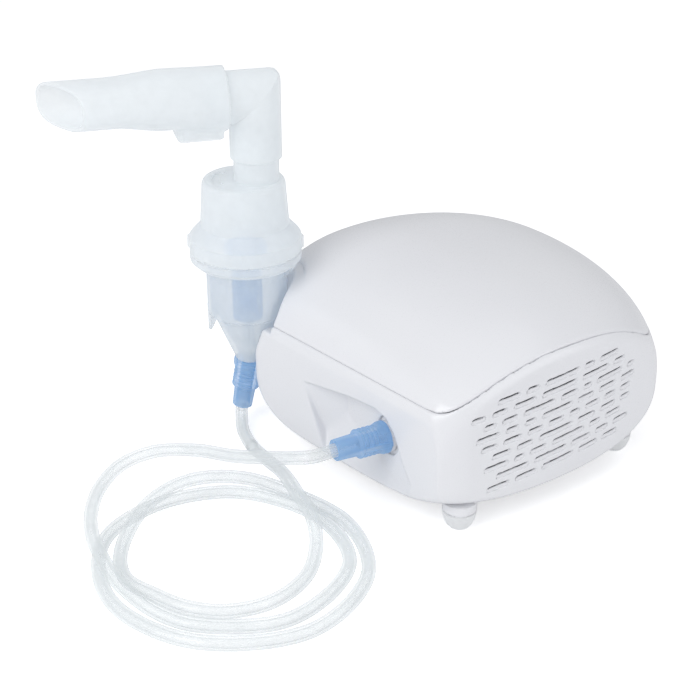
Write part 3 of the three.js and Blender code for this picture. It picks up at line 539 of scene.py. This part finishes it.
def lower_zone_field(x, y, z):
    """The space of the lower shell: below the parting line, and the louvred panel."""
    panel = vent_x(y) - PARTING["panel_depth"] - x
    return smooth_min(z - PARTING["z"], panel, PARTING["corner"])


def louvre_slots():
    """The middle, half length and height of every louvre slot."""
    slots = []
    for row, (start, lengths) in enumerate(LOUVRE_ROWS):
        y = start
        for length in lengths:
            middle = y + length / 2
            z = LOUVRE["low_z"] + row * LOUVRE["pitch"] + middle * LOUVRE["rise"]
            slots.append((middle, length / 2, z))
            y += length + LOUVRE["bridge"]
    return slots


def louvre_field(x, y, z):
    """Slots through the louvred face, each with a shallow dish under it that throws air down."""
    slot, dish = BEYOND, BEYOND
    radius = LOUVRE["half_height"]
    for middle, half_length, height in louvre_slots():
        aside = np.maximum(np.abs(y - middle) - half_length + radius, 0)
        up = z - height - (y - middle) * LOUVRE["rise"]
        slot = np.minimum(slot, np.hypot(aside, up) - radius)
        dish = np.minimum(dish, np.hypot(aside, up + 0.9) - 1.35)
    dish = np.maximum(dish, vent_x(y) - 0.55 - x)
    return smooth_min(np.maximum(slot, vent_x(y) - 12 - x), dish, 0.4)


def rear_holes_field(x, y, z):
    up = z - REAR["fitting_z"]
    holes = np.minimum(panel_field(x - REAR["switch_x"], up, 6.5, 9.5, 1),
                       panel_field(x - REAR["inlet_x"], up, 8.5, 4, 3))
    holes = np.minimum(holes, disc_field(x - REAR["filter_x"], up, 8.6))
    return np.maximum(holes, 80 - y)


def base_field(x, y, z):
    body = shell_field(x, y, z)
    boss, hole = BEYOND, BEYOND
    for foot_x, foot_y in FOOT_PLACES:
        aside = np.hypot(x - foot_x, y - foot_y)
        boss = np.minimum(boss, aside - 8)
        hole = np.minimum(hole, aside - 2.9)
    for post_x, post_y in POST_PLACES:
        aside = np.hypot(x - post_x, y - post_y)
        boss = np.minimum(boss, aside - 6)
        hole = np.minimum(hole, np.minimum(aside - 1.8, np.maximum(aside - 3.5, z - 11.7)))
    body = smooth_min(body, np.maximum(boss, between(z, UNDERSIDE_Z, POST["bottom_z"])), 1)
    body = smooth_max(body, np.minimum(15 - z, 0) - hole, 0.4)
    body = smooth_max(body, lower_zone_field(x, y, z) + PARTING["half_gap"], 0.9)
    body = smooth_max(body, -louvre_field(x, y, z), 0.5)
    return smooth_max(body, -rear_holes_field(x, y, z), 0.5)


def cover_field(x, y, z):
    return smooth_max(shell_field(x, y, z), PARTING["half_gap"] - lower_zone_field(x, y, z), 0.9)


def post_field(x, y, z, post_x, post_y):
    """A screw post that hangs from the cover's roof."""
    aside = np.hypot(x - post_x, y - post_y)
    post = smooth_max(aside - POST["radius"], POST["bottom_z"] + 0.3 - z, 0.8)
    post = np.maximum(post, hull_field(x, y, z, 1))
    return smooth_max(post, np.minimum(POST["bore"] - aside, 34 - z), 0.4)


def louvre_painted_shade_faces(x, y, z):
    """The depths of the louvred wall, which get painted shade, apart from the lips of the parting line, which
    stay white.
    """
    behind_louvres = (x > vent_x(y) - 5) & (z < 74)
    return behind_louvres & (hull_field(x, y, z) < -0.9) & (np.abs(lower_zone_field(x, y, z)) > 1.2)


def housing(materials):
    coarse = 1.0
    fine = 0.45
    x = np.arange(-96, 81, coarse)
    y = np.arange(-76, 107, coarse)
    lower_z = np.concatenate([np.arange(7, 20, coarse), np.arange(20, 80, fine), np.arange(80, 86, coarse)])
    upper_z = np.arange(58, 99, coarse)
    # The second material paints shade on the inner faces behind the louvres.
    finish = {"material": materials["white_housing"], "body": "unit", "slot": "white_housing",
              "second": materials["painted_shade_inside"], "is_second": louvre_painted_shade_faces}
    piece("lower_shell", [surface(base_field, x, y, lower_z)], nodes=["base_shell"], **finish)
    cover = [surface(cover_field, x, y, upper_z)]
    for post_x, post_y in POST_PLACES:
        reach = POST["radius"] + 0.5
        corners = (post_x - reach, post_y - reach, 14), (post_x + reach, post_y + reach, 97)
        cover.append(sculpted(lambda u, v, w: post_field(u, v, w, post_x, post_y), *corners, 0.8))
    piece("upper_cover", cover, nodes=["top_cover"], **finish)


FOOT_OUTLINE = [(-3, 0), (2.5, 0), (4.6, 0.7), (6.2, 2.6), (7.2, 5), (7.9, 7.5), (8, 9.2), (-3, 9.2)]


def feet(materials):
    for i, (x, y) in enumerate(FOOT_PLACES, 1):
        parts = [
            sculpted(lambda u, v, w: turned_field(u, v, w, FOOT_OUTLINE), (-8, -8, 0), (8, 8, 9.2), 0.5,
                     shift(x, y, 0)),
        ]
        piece(f"table_foot_{i}", parts, materials["foot_plastic"], "unit", [f"foot_{i}"], "foot_plastic")


# ---------------------------------------------------------------- outlet and rear fittings
def outlet_field(x, y, z):
    stub = turned_field(x, y, z, [(-3, -17), (2.9, -17), (3.3, -14), (3.3, 5), (-3, 5)])
    flange = turned_field(x, y, z, [(-3, -2.7), (7.4, -2.7), (7.4, -0.4), (-3, -0.4)])
    return smooth_max(smooth_min(stub, flange, 1), 1.6 - np.hypot(x, y), 0.4)


def outlet(materials):
    part = sculpted(outlet_field, (-7.5, -7.5, -17), (7.5, 7.5, 5), 0.5, PORT_PLACE)
    piece("air_outlet", [part], materials["white_housing"], "unit", ["outlet_port"], "white_housing")


def fitting_place(x):
    """Local X is sideways, Y is up and Z points out of the rear panel."""
    facing_back = Matrix(((-1, 0, 0, 0), (0, 0, 1, 0), (0, 1, 0, 0), (0, 0, 0, 1)))
    return shift(x, REAR["y"], REAR["fitting_z"]) @ facing_back


def bezel_field(x, y, z):
    flange = smooth_max(panel_field(x, y, 8, 11, 2), between(z, 0.3, 2), 0.8)
    body = np.maximum(panel_field(x, y, 6.2, 9.2, 0.8), between(z, -16, 1))
    return smooth_max(np.minimum(flange, body), -np.maximum(panel_field(x, y, 5, 7.9, 0.5), -14 - z), 0.5)


def rocker_field(x, y, z):
    """A rocker that dips in its middle; the raised bar and ring of its on and off marks are not drawn."""
    outline = [(-6, -3.5), (1, -6.9), (4.4, -7.3), (2.2, 0), (4.4, 7.3), (1, 6.9), (-6, 3.5)]
    side = outline_field(z, y, outline)
    return smooth_max(side, np.abs(x) - 4.5, 0.8)


def inlet_field(x, y, z):
    flange = smooth_max(panel_field(x, y, 10.5, 5.5, 3), between(z, 0.3, 2), 0.8)
    body = np.maximum(panel_field(x, y, 8.2, 3.7, 3), between(z, -18, 1))
    socket = np.maximum(panel_field(x, y, 6.5, 2.7, 2.6), -15 - z)
    pins = np.maximum(disc_field(np.abs(x) - 3.5, y, 1.1), between(z, -16, -4))
    return np.minimum(smooth_max(np.minimum(flange, body), -socket, 0.5), pins)


def filter_cap_field(x, y, z):
    aside = np.hypot(x, y)
    lid = smooth_max(aside - 9.8, between(z, 0.3, 2), 0.8)
    skirt = np.maximum(np.maximum(aside - 8.1, 7 - aside), between(z, -12, 1))
    grip = smooth_max(panel_field(x, y, 1.4, 6.5, 1.2), between(z, 1, 5), 0.8)
    slots = BEYOND
    for up in (-3.2, 0, 3.2):
        slots = np.minimum(slots, panel_field(np.abs(x) - 5.2, y - up, 1.8, 0.5, 0.45))
    lid = smooth_max(np.minimum(lid, skirt), -slots, 0.3)
    return smooth_min(lid, grip, 0.8)


def rear_fittings(materials):
    switch_place = fitting_place(REAR["switch_x"])
    fittings = (
        ("switch_frame", bezel_field, (8, 11, -16, 2), switch_place, "unit", "switch_bezel", "dark_plastic"),
        ("rocker_key", rocker_field, (4.5, 7.4, -6, 4.4), switch_place, "switch", "switch_rocker",
         "dark_plastic"),
        ("mains_inlet", inlet_field, (10.5, 5.5, -18, 2), fitting_place(REAR["inlet_x"]), "unit",
         "power_inlet",
         "dark_plastic"),
        ("filter_lid", filter_cap_field, (9.8, 9.8, -12, 5), fitting_place(REAR["filter_x"]), "filter_door",
         "filter_cap", "grey_plastic"),
    )
    for name, field, (half_x, half_y, low_z, high_z), place, body, node, slot in fittings:
        part = sculpted(field, (-half_x, -half_y, low_z), (half_x, half_y, high_z), 0.45, place)
        piece(name, [part], materials[slot], body, [node], slot)


# ---------------------------------------------------------------- handset
CUP_OUTSIDE = [(-3, 37), (6.4, 37), (17.1, 63), (19.8, 64.5), (19.8, 85), (20.6, 90.5),
               (24.4, 90.5), (27.3, 93.2),
               (27.3, 96.8), (21.2, 96.8), (21.2, 101), (-3, 101)]
CUP_INSIDE = [(-3, 40), (5, 40), (15.6, 64.5), (18.3, 66), (18.3, 85), (19.2, 90), (19.2, 110), (-3, 110)]


def leg_field(x, y, z, degrees):
    """A thin curved leg with a round end, and the gusset above it under the collar."""
    aside, turn = arc_distance(x, y, degrees)
    half_width = 7.3
    around = turn * 19
    end = np.hypot(around, np.minimum(z - 52 - half_width, 0)) - half_width
    leg = smooth_max(np.maximum(end, z - 68), np.abs(aside - 19.05) - 0.75, 0.5)
    gusset = smooth_max(np.abs(around) - 3.9, between(aside, 18.8, 25), 0.6)
    return np.minimum(leg, np.maximum(gusset, between(z, 84.6 + np.maximum(aside - 21, 0) * 1.2, 92)))


def cup_field(x, y, z):
    walls = smooth_max(turned_field(x, y, z, CUP_OUTSIDE), -turned_field(x, y, z, CUP_INSIDE), 0.7)
    for degrees in LEG_HEADINGS:
        walls = smooth_min(walls, leg_field(x, y, z, degrees), 0.6)
    jet = turned_field(x, y, z, [(-3, 38), (4, 38), (2, 62), (-3, 62)])
    return smooth_max(smooth_min(walls, jet, 1.5), 0.8 - np.hypot(x, y), 0.3)


def nipple_field(x, y, z):
    body = turned_field(x, y, z, [(-3, 14), (2.9, 14), (3.3, 17), (3.3, 28), (-3, 28)])
    return smooth_max(body, 1.4 - np.hypot(x, y), 0.3)


def below_collar(x, y, z):
    """The clear part of the cup; the collar above it is frosted."""
    return z < COLLAR_BOTTOM_Z


BELL_OUTLINE = [(4.6, 60), (7.4, 60), (7.4, 88), (10.3, 91.5), (10.3, 99), (9, 99), (9, 92.4),
                (6.2, 89), (4.6, 66)]


def baffle_field(x, y, z):
    bell = turned_field(x, y, z, BELL_OUTLINE) - 0.1
    bar = np.maximum(panel_field(x, y, 6.4, 1.2, 0.3), between(z, 66.5, 69))
    return smooth_min(bell, bar, 0.8)


CAP_OUTSIDE = [(-3, 97.1), (27.3, 97.1), (27.3, 104.4), (21.6, 110.7),
               (19.9, CAP_TOP_Z + 1), (-3, CAP_TOP_Z + 1)]
CAP_INSIDE = [(-3, 90), (25.6, 90), (25.6, 103.6), (20.1, 109.6),
              (18.4, CAP_TOP_Z - 1.5), (-3, CAP_TOP_Z - 1.5)]


def cap_field(x, y, z):
    outside = smooth_max(turned_field(x, y, z, CAP_OUTSIDE), z - CAP_TOP_Z, 3)
    cap = smooth_max(outside, -turned_field(x, y, z, CAP_INSIDE), 0.7)
    tube = disc_field(x - OUTLET_AXIS[0], y - OUTLET_AXIS[1], OUTLET["radius"])
    bore = tube + 1.6
    cap = smooth_min(cap, smooth_max(tube, between(z, 112, OUTLET["top_z"]), 0.6), 0.8)
    cap = smooth_max(cap, -np.maximum(bore, 100 - z), 0.5)
    aside, turn = arc_distance(x, y, math.degrees(HEADING) + 180)
    window = panel_field(aside - 13.5, turn * 13.5, 2, 10, 1.5)
    cap = smooth_max(cap, -np.maximum(window, 126 - z), 0.5)
    for side in (0, 180):
        reach, swing = arc_distance(x, y, math.degrees(HEADING) + side)
        lug = np.maximum(np.hypot(reach - COLLAR_RADIUS, swing * COLLAR_RADIUS) - 1.2, between(z, 97.6, 104))
        cap = smooth_min(cap, np.maximum(lug, 26 - reach), 0.5)
    return cap


def elbow_bend(x, y, z, radius):
    """Two crossing tubes joined in a mitre."""
    up = z - MOUTH["z"]
    return np.where(up + x < 0, np.hypot(x, y), np.hypot(y, up)) - radius


def elbow_field(x, y, z):
    outer = elbow_bend(x, y, z, ELBOW["radius"])
    corner = (z - MOUTH["z"] - x) * math.sqrt(0.5) - ELBOW["radius"] * math.sqrt(2) + 1.6
    outer = smooth_max(outer, corner, 2.5)
    ends = np.maximum(ELBOW["bottom_z"] - z, x - ELBOW["reach"])
    outer = smooth_max(outer, ends, 0.6)
    return smooth_max(outer, -elbow_bend(x, y, z, ELBOW["bore"]), 0.5)


def mouth_bore(x, y, z, inset):
    """The mouthpiece's tube: round at the elbow, then a flat oval whose middle rises towards the lips."""
    barrel, lips = smooth_step(x, 22, 42), smooth_step(x, 42, 68)
    lift = MOUTH["barrel_lift"] * barrel + (MOUTH["lip_lift"] - MOUTH["barrel_lift"]) * lips
    half_height = MOUTH["rim_height"] + (MOUTH["barrel_height"] - MOUTH["rim_height"]) * barrel
    half_height = half_height + (MOUTH["lip_height"] - half_height) * lips - inset
    half_width = MOUTH["half_width"] - inset
    power = 2 + 0.7 * lips
    up = z - MOUTH["z"] - lift
    gauge = (np.abs(y / half_width) ** power + np.abs(up / half_height) ** power) ** (1 / power)
    return (gauge - 1) * half_height


def mouthpiece_field(x, y, z):
    straight = x
    for _ in range(3):
        straight = x + MOUTH["slant"] * y * smooth_step(straight, 50, 90)
    outer = smooth_max(mouth_bore(straight, y, z, 0), between(straight, MOUTH["start"], MOUTH["end"]), 1.2)
    bore = mouth_bore(straight, y, z, 1.7)
    tube = smooth_max(outer, -bore, 0.9)
    up = z - MOUTH["z"]
    ring = np.hypot(y, up)
    socket = np.maximum(between(ring, 12.7, 15), between(x, MOUTH["start"], 26))
    box = smooth_max(panel_field(x - 27, y, 11, 9, 3), between(up, -17.5, -10), 1.5)
    box = np.maximum(box, -mouth_bore(straight, y, z, 1.7))
    body = smooth_min(np.minimum(tube, socket), box, 1.5)
    opening = np.maximum(panel_field(x - 27.25, y, 7.25, 6.5, 1), up + 8)
    recess = np.maximum(panel_field(x - 27.25, y, 9.25, 7.6, 1), up + 15.9)
    return smooth_max(body, -np.minimum(opening, recess), 0.4)


def connector_outline():
    ribs = []
    for i in range(5):
        ribs.extend(((6.1, 10.9 + i * 2.3), (6.9, 11.6 + i * 2.3), (6.9, 12.3 + i * 2.3)))
    end = CONNECTOR_LENGTH
    return [(3.8, 0), (5, 0), (5.4, 10.4), *ribs, (7.7, end - 2.4), (7.8, end), (3.6, end), (3.6, 9),
            (3.8, 8.7)]


CONNECTOR_OUTLINE = connector_outline()
WING_OUTLINE = [(4, 11.5), (7.6, 12.5), (8.5, CONNECTOR_LENGTH - 2), (8.3, CONNECTOR_LENGTH),
                (4, CONNECTOR_LENGTH)]


def connector_field(x, y, z):
    sleeve = turned_field(x, y, z, CONNECTOR_OUTLINE)
    wings = smooth_max(outline_field(np.abs(x), z, WING_OUTLINE), np.abs(y) - 1.3, 0.6)
    return smooth_min(sleeve, np.maximum(wings, 4.5 - np.hypot(x, y)), 0.4)


def flap_field(x, y, z):
    return smooth_max(panel_field(x - 27.25, y, 8.85, 7.2, 1), between(z - MOUTH["z"], -17.1, -16.2), 0.3)


def inlet_flap_field(x, y, z):
    aside, turn = arc_distance(x, y, math.degrees(HEADING) + 180)
    crescent = panel_field(aside - 13.3, turn * 13.5, 3.1, 10.6, 1.5)
    return smooth_max(crescent, between(z, CAP_TOP_Z - 2.6, CAP_TOP_Z - 1.9), 0.2)


def handset(materials):
    parts = (
        ("cup_vessel", cup_field, (-27.4, -27.4, 37), (27.4, 27.4, 101), 0.75, HANDSET_PLACE, "cup",
         "medicine_cup", "frosted_plastic"),
        ("baffle_bell", baffle_field, (-10.5, -10.5, 60), (10.5, 10.5, 99), 0.6, HANDSET_PLACE, "cup",
         "jet_baffle", "blue_plastic"),
        ("vessel_cap", cap_field, (-28.6, -28.6, 97.1), (28.6, 28.6, 156), 0.75, HANDSET_PLACE, "cap",
         "cup_cap", "frosted_plastic"),
        ("cap_valve", inlet_flap_field, (-17, -17, 130.9), (17, 17, 131.6), 0.35, HANDSET_PLACE,
         "inlet_valve", "inlet_flap", "silicone"),
        ("mist_bend", elbow_field, (-12.5, -12.5, 144), (24, 12.5, 186.5), 0.6, SWIVEL_PLACE, "mist_elbow",
         "elbow", "frosted_plastic"),
        ("mouth_tube", mouthpiece_field, (14, -16, 156.5), (100, 16, 189.4), 0.6, SWIVEL_PLACE, "mouth",
         "mouthpiece", "frosted_plastic"),
        ("mouth_valve", flap_field, (18, -8, 156.9), (37, 8, 157.8), 0.35, SWIVEL_PLACE, "exhale_valve",
         "exhale_flap", "silicone"),
        ("port_connector", connector_field, (-8.6, -8.6, 0), (8.6, 8.6, 26), 0.35, PORT_CONNECTOR_PLACE,
         "unit", "hose_connector_port", "blue_plastic"),
        ("cup_connector", connector_field, (-8.6, -8.6, 0), (8.6, 8.6, 26), 0.35, NOZZLE_PLACE, "cup",
         "hose_connector_cup", "blue_plastic"),
    )
    for name, field, low, high, step, place, body, node, slot in parts:
        surfaces = [sculpted(field, low, high, step, place)]
        if node == "medicine_cup":
            surfaces.append(sculpted(nipple_field, (-3.4, -3.4, 14), (3.4, 3.4, 28), 0.4, NOZZLE_PLACE))
            piece(name, surfaces, materials[slot], body, [node], slot, materials["cup_plastic"], below_collar)
        else:
            piece(name, surfaces, materials[slot], body, [node], slot)


# ---------------------------------------------------------------- hose
COIL = {"x": 20, "y": -151}
HOSE_FROM_PORT = [(-3, -116, 32), (-24, -120, 25), (-47, -126, 20), (-63, -138, 16.5), (-66, -154, 14.5),
                  (-58, -171, 13), (-44, -185, 12), (-27, -195, 11.8), (-9, -201, 11.5), (8, -203.5, 9)]
COIL_TURNS = [  # angle in degrees, distance from the coil's middle, height
    (-78, 49.5, 4.8), (-55, 48, 3.9), (-10, 49, 3.9), (45, 49.5, 3.9), (90, 49, 3.9), (125, 52, 3.9),
    (150, 56.5, 3.9), (180, 60, 3.9), (211, 62.5, 3.9), (240, 60, 3.9), (270, 59, 3.9), (308, 58.7, 3.9),
    (353, 60.4, 3.9), (398, 58.5, 3.9), (440, 56.6, 3.9), (478, 59, 4), (500, 61.5, 8), (524, 60, 11.2),
    (550, 56, 10), (580, 52.5, 4.2), (606, 49, 3.9), (627, 42, 3.9), (652, 39, 3.9), (678, 37, 3.9),
    (710, 34.5, 3.9), (750, 33, 3.9), (785, 36, 6.5), (808, 41, 10.8)]
HOSE_TO_CUP = [(4, -104, 11.4), (-14, -98, 11.2), (-34, -92, 7), (-54, -86.5, 4.1), (-68, -81, 3.9),
               (-75.5, -76.5, 4), (-79.5, -73.6, 5.4), (-82, -71.6, 8.3)]


def on_axis(place, distance):
    return tuple(place @ Vector((0, 0, distance)))


def hose_points():
    """The hose's control points, from the outlet's connector round the coil to the cup's connector."""
    start = [on_axis(PORT_CONNECTOR_PLACE, distance) for distance in (8.2, -1, -12)]
    coil = []
    for degrees, distance, height in COIL_TURNS:
        angle = math.radians(degrees)
        coil.append((COIL["x"] + distance * math.cos(angle), COIL["y"] + distance * math.sin(angle), height))
    end = [on_axis(NOZZLE_PLACE, distance) for distance in (-1, 8.2)]
    return np.array([*start, *HOSE_FROM_PORT, *coil, *HOSE_TO_CUP, *end])


def smooth_path(points, steps):
    """A centripetal Catmull-Rom curve through points."""
    padded = np.concatenate([[2 * points[0] - points[1]], points, [2 * points[-1] - points[-2]]])
    path = []
    for a, b, c, d in zip(padded, padded[1:], padded[2:], padded[3:]):
        before, here, after = (math.sqrt(np.linalg.norm(q - p)) for p, q in ((a, b), (b, c), (c, d)))
        leave = ((b - a) / before - (c - a) / (before + here) + (c - b) / here) * here
        arrive = ((c - b) / here - (d - b) / (here + after) + (d - c) / after) * here
        t = (np.arange(steps) / steps)[:, None]
        path.append(b + leave * t + (3 * c - 3 * b - 2 * leave - arrive) * t ** 2
                    + (2 * b - 2 * c + leave + arrive) * t ** 3)
    return np.concatenate([*path, points[-1:]])


def carried_frames(path):
    """Two directions across the path at each point, carried along without twisting."""
    tangents = np.gradient(path, axis=0)
    tangents /= np.linalg.norm(tangents, axis=1, keepdims=True)
    side = np.cross(tangents[0], (0, 0, 1))
    first = []
    for tangent in tangents:
        side = side - tangent * np.dot(side, tangent)
        side = side / np.linalg.norm(side)
        first.append(side)
    first = np.array(first)
    return first, np.cross(tangents, first)


def hollow_tube(path, across, up, radius, bore, sides):
    """A tube with a bore, closed at both ends, as points, faces and normals."""
    turns = np.arange(sides) * 2 * math.pi / sides
    spokes = across[:, None] * np.cos(turns)[None, :, None] + up[:, None] * np.sin(turns)[None, :, None]
    rings = np.concatenate([path[:, None] + spokes * radius, (path[:, None] + spokes * bore)[::-1]])
    normals = np.concatenate([spokes, -spokes[::-1]])
    count = len(rings)
    ring, spoke = np.meshgrid(np.arange(count), np.arange(sides), indexing="ij")
    next_ring, next_spoke = (ring + 1) % count, (spoke + 1) % sides
    faces = np.stack([ring * sides + spoke, ring * sides + next_spoke,
                      next_ring * sides + next_spoke, next_ring * sides + spoke], -1).reshape(-1, 4)
    return rings.reshape(-1, 3), faces, normals.reshape(-1, 3)


TAIL_POINTS = 7  # the last control points, which make the separate hose tail by the cup


def hose(materials):
    points = hose_points()
    path = smooth_path(points, HOSE["steps"])
    across, up = carried_frames(path)
    split = (len(points) - TAIL_POINTS) * HOSE["steps"]
    for name, part in (("hose_run", slice(0, split + 1)), ("hose_tail", slice(split, None))):
        tube = hollow_tube(path[part], across[part], up[part], HOSE["radius"], HOSE["bore"], HOSE["sides"])
        run = name == "hose_run"
        body = "unit" if run else None
        thing = piece(name, [tube], materials["clear_vinyl"], body, ["air_hose"], "clear_vinyl")
        if not run:
            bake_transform(thing)


# ---------------------------------------------------------------- inner parts, floor, light and camera
def finish_inner_parts(materials):
    """The compressor inside keeps its CAD shapes and gets real finishes."""
    slots = {row["node"]: row["material_slot"] for row in frame["record"]["subparts"]}
    for name, node in frame["nodes"].items():
        if not node.hide_render:
            node.data.materials.clear()
            node.data.materials.append(materials[slots[name]])


def floor():
    s = Shader("pale_floor")
    tone = s.tinted(s.ranged(s.noise(3, 2), 0, 1), (0.93, 0.93, 0.935), (0.95, 0.95, 0.955))
    seen = s.node("ShaderNodeLightPath").outputs["Is Camera Ray"]
    lift = s.node("ShaderNodeMath", {0: seen, 1: 0.42}, operation="MULTIPLY").outputs[0]
    s.finish(s.principled(Base_Color=tone, Roughness=0.8, Emission_Color=(1, 1, 1, 1),
                          Emission_Strength=lift))
    mesh = bpy.data.meshes.new("floor")
    reach = 6.0
    corners = [(-reach, -reach, 0), (reach, -reach, 0), (reach, reach, 0), (-reach, reach, 0)]
    mesh.from_pydata(corners, [], [(0, 1, 2, 3)])
    mesh.materials.append(s.material)
    thing = bpy.data.objects.new("floor", mesh)
    bpy.context.scene.collection.objects.link(thing)


def area_light(name, energy, size, place, target, colour=(1, 1, 1)):
    light = bpy.data.lights.new(name, "AREA")
    light.energy = energy
    light.size = size
    light.color = colour
    thing = bpy.data.objects.new(name, light)
    thing.location = place
    thing.rotation_euler = (Vector(target) - Vector(place)).to_track_quat("-Z", "Y").to_euler()
    bpy.context.scene.collection.objects.link(thing)


def studio():
    """A white backdrop that lights the object less than the camera sees, with a high softbox in front."""
    world = bpy.data.worlds.new("studio")
    world.use_nodes = True
    tree = world.node_tree
    lighting = tree.nodes["Background"]
    lighting.inputs["Color"].default_value = (0.97, 0.98, 1, 1)
    lighting.inputs["Strength"].default_value = 0.56
    backdrop = tree.nodes.new("ShaderNodeBackground")
    backdrop.inputs["Color"].default_value = (1, 1, 1, 1)
    seen = tree.nodes.new("ShaderNodeLightPath")
    mix = tree.nodes.new("ShaderNodeMixShader")
    tree.links.new(seen.outputs["Is Camera Ray"], mix.inputs[0])
    tree.links.new(lighting.outputs[0], mix.inputs[1])
    tree.links.new(backdrop.outputs[0], mix.inputs[2])
    tree.links.new(mix.outputs[0], tree.nodes["World Output"].inputs["Surface"])
    bpy.context.scene.world = world
    middle = (0.02, 0.02, 0.06)
    area_light("overhead_softbox", 1.2, 0.9, (-0.1, 0.1, 1.1), middle)
    area_light("front_softbox", 6.6, 0.8, (0.15, -1.0, 0.8), middle)
    area_light("right_fill", 2.2, 0.8, (0.95, 0.4, 0.35), middle)


def camera():
    data = bpy.data.cameras.new("camera")
    data.sensor_width = 36
    data.lens = 77.14
    thing = bpy.data.objects.new("camera", data)
    thing.location = (0.4915, -0.4126, 0.3854)
    thing.rotation_euler = (math.radians(90 - 27), 0, HEADING)
    bpy.context.scene.collection.objects.link(thing)
    bpy.context.scene.camera = thing


def build():
    materials = make_materials()
    housing(materials)
    feet(materials)
    outlet(materials)
    rear_fittings(materials)
    handset(materials)
    hose(materials)
    finish_inner_parts(materials)
    floor()
    studio()
    camera()
    bpy.context.scene.view_settings.view_transform = "Standard"
    bpy.context.scene.cycles.transparent_max_bounces = 32


build()
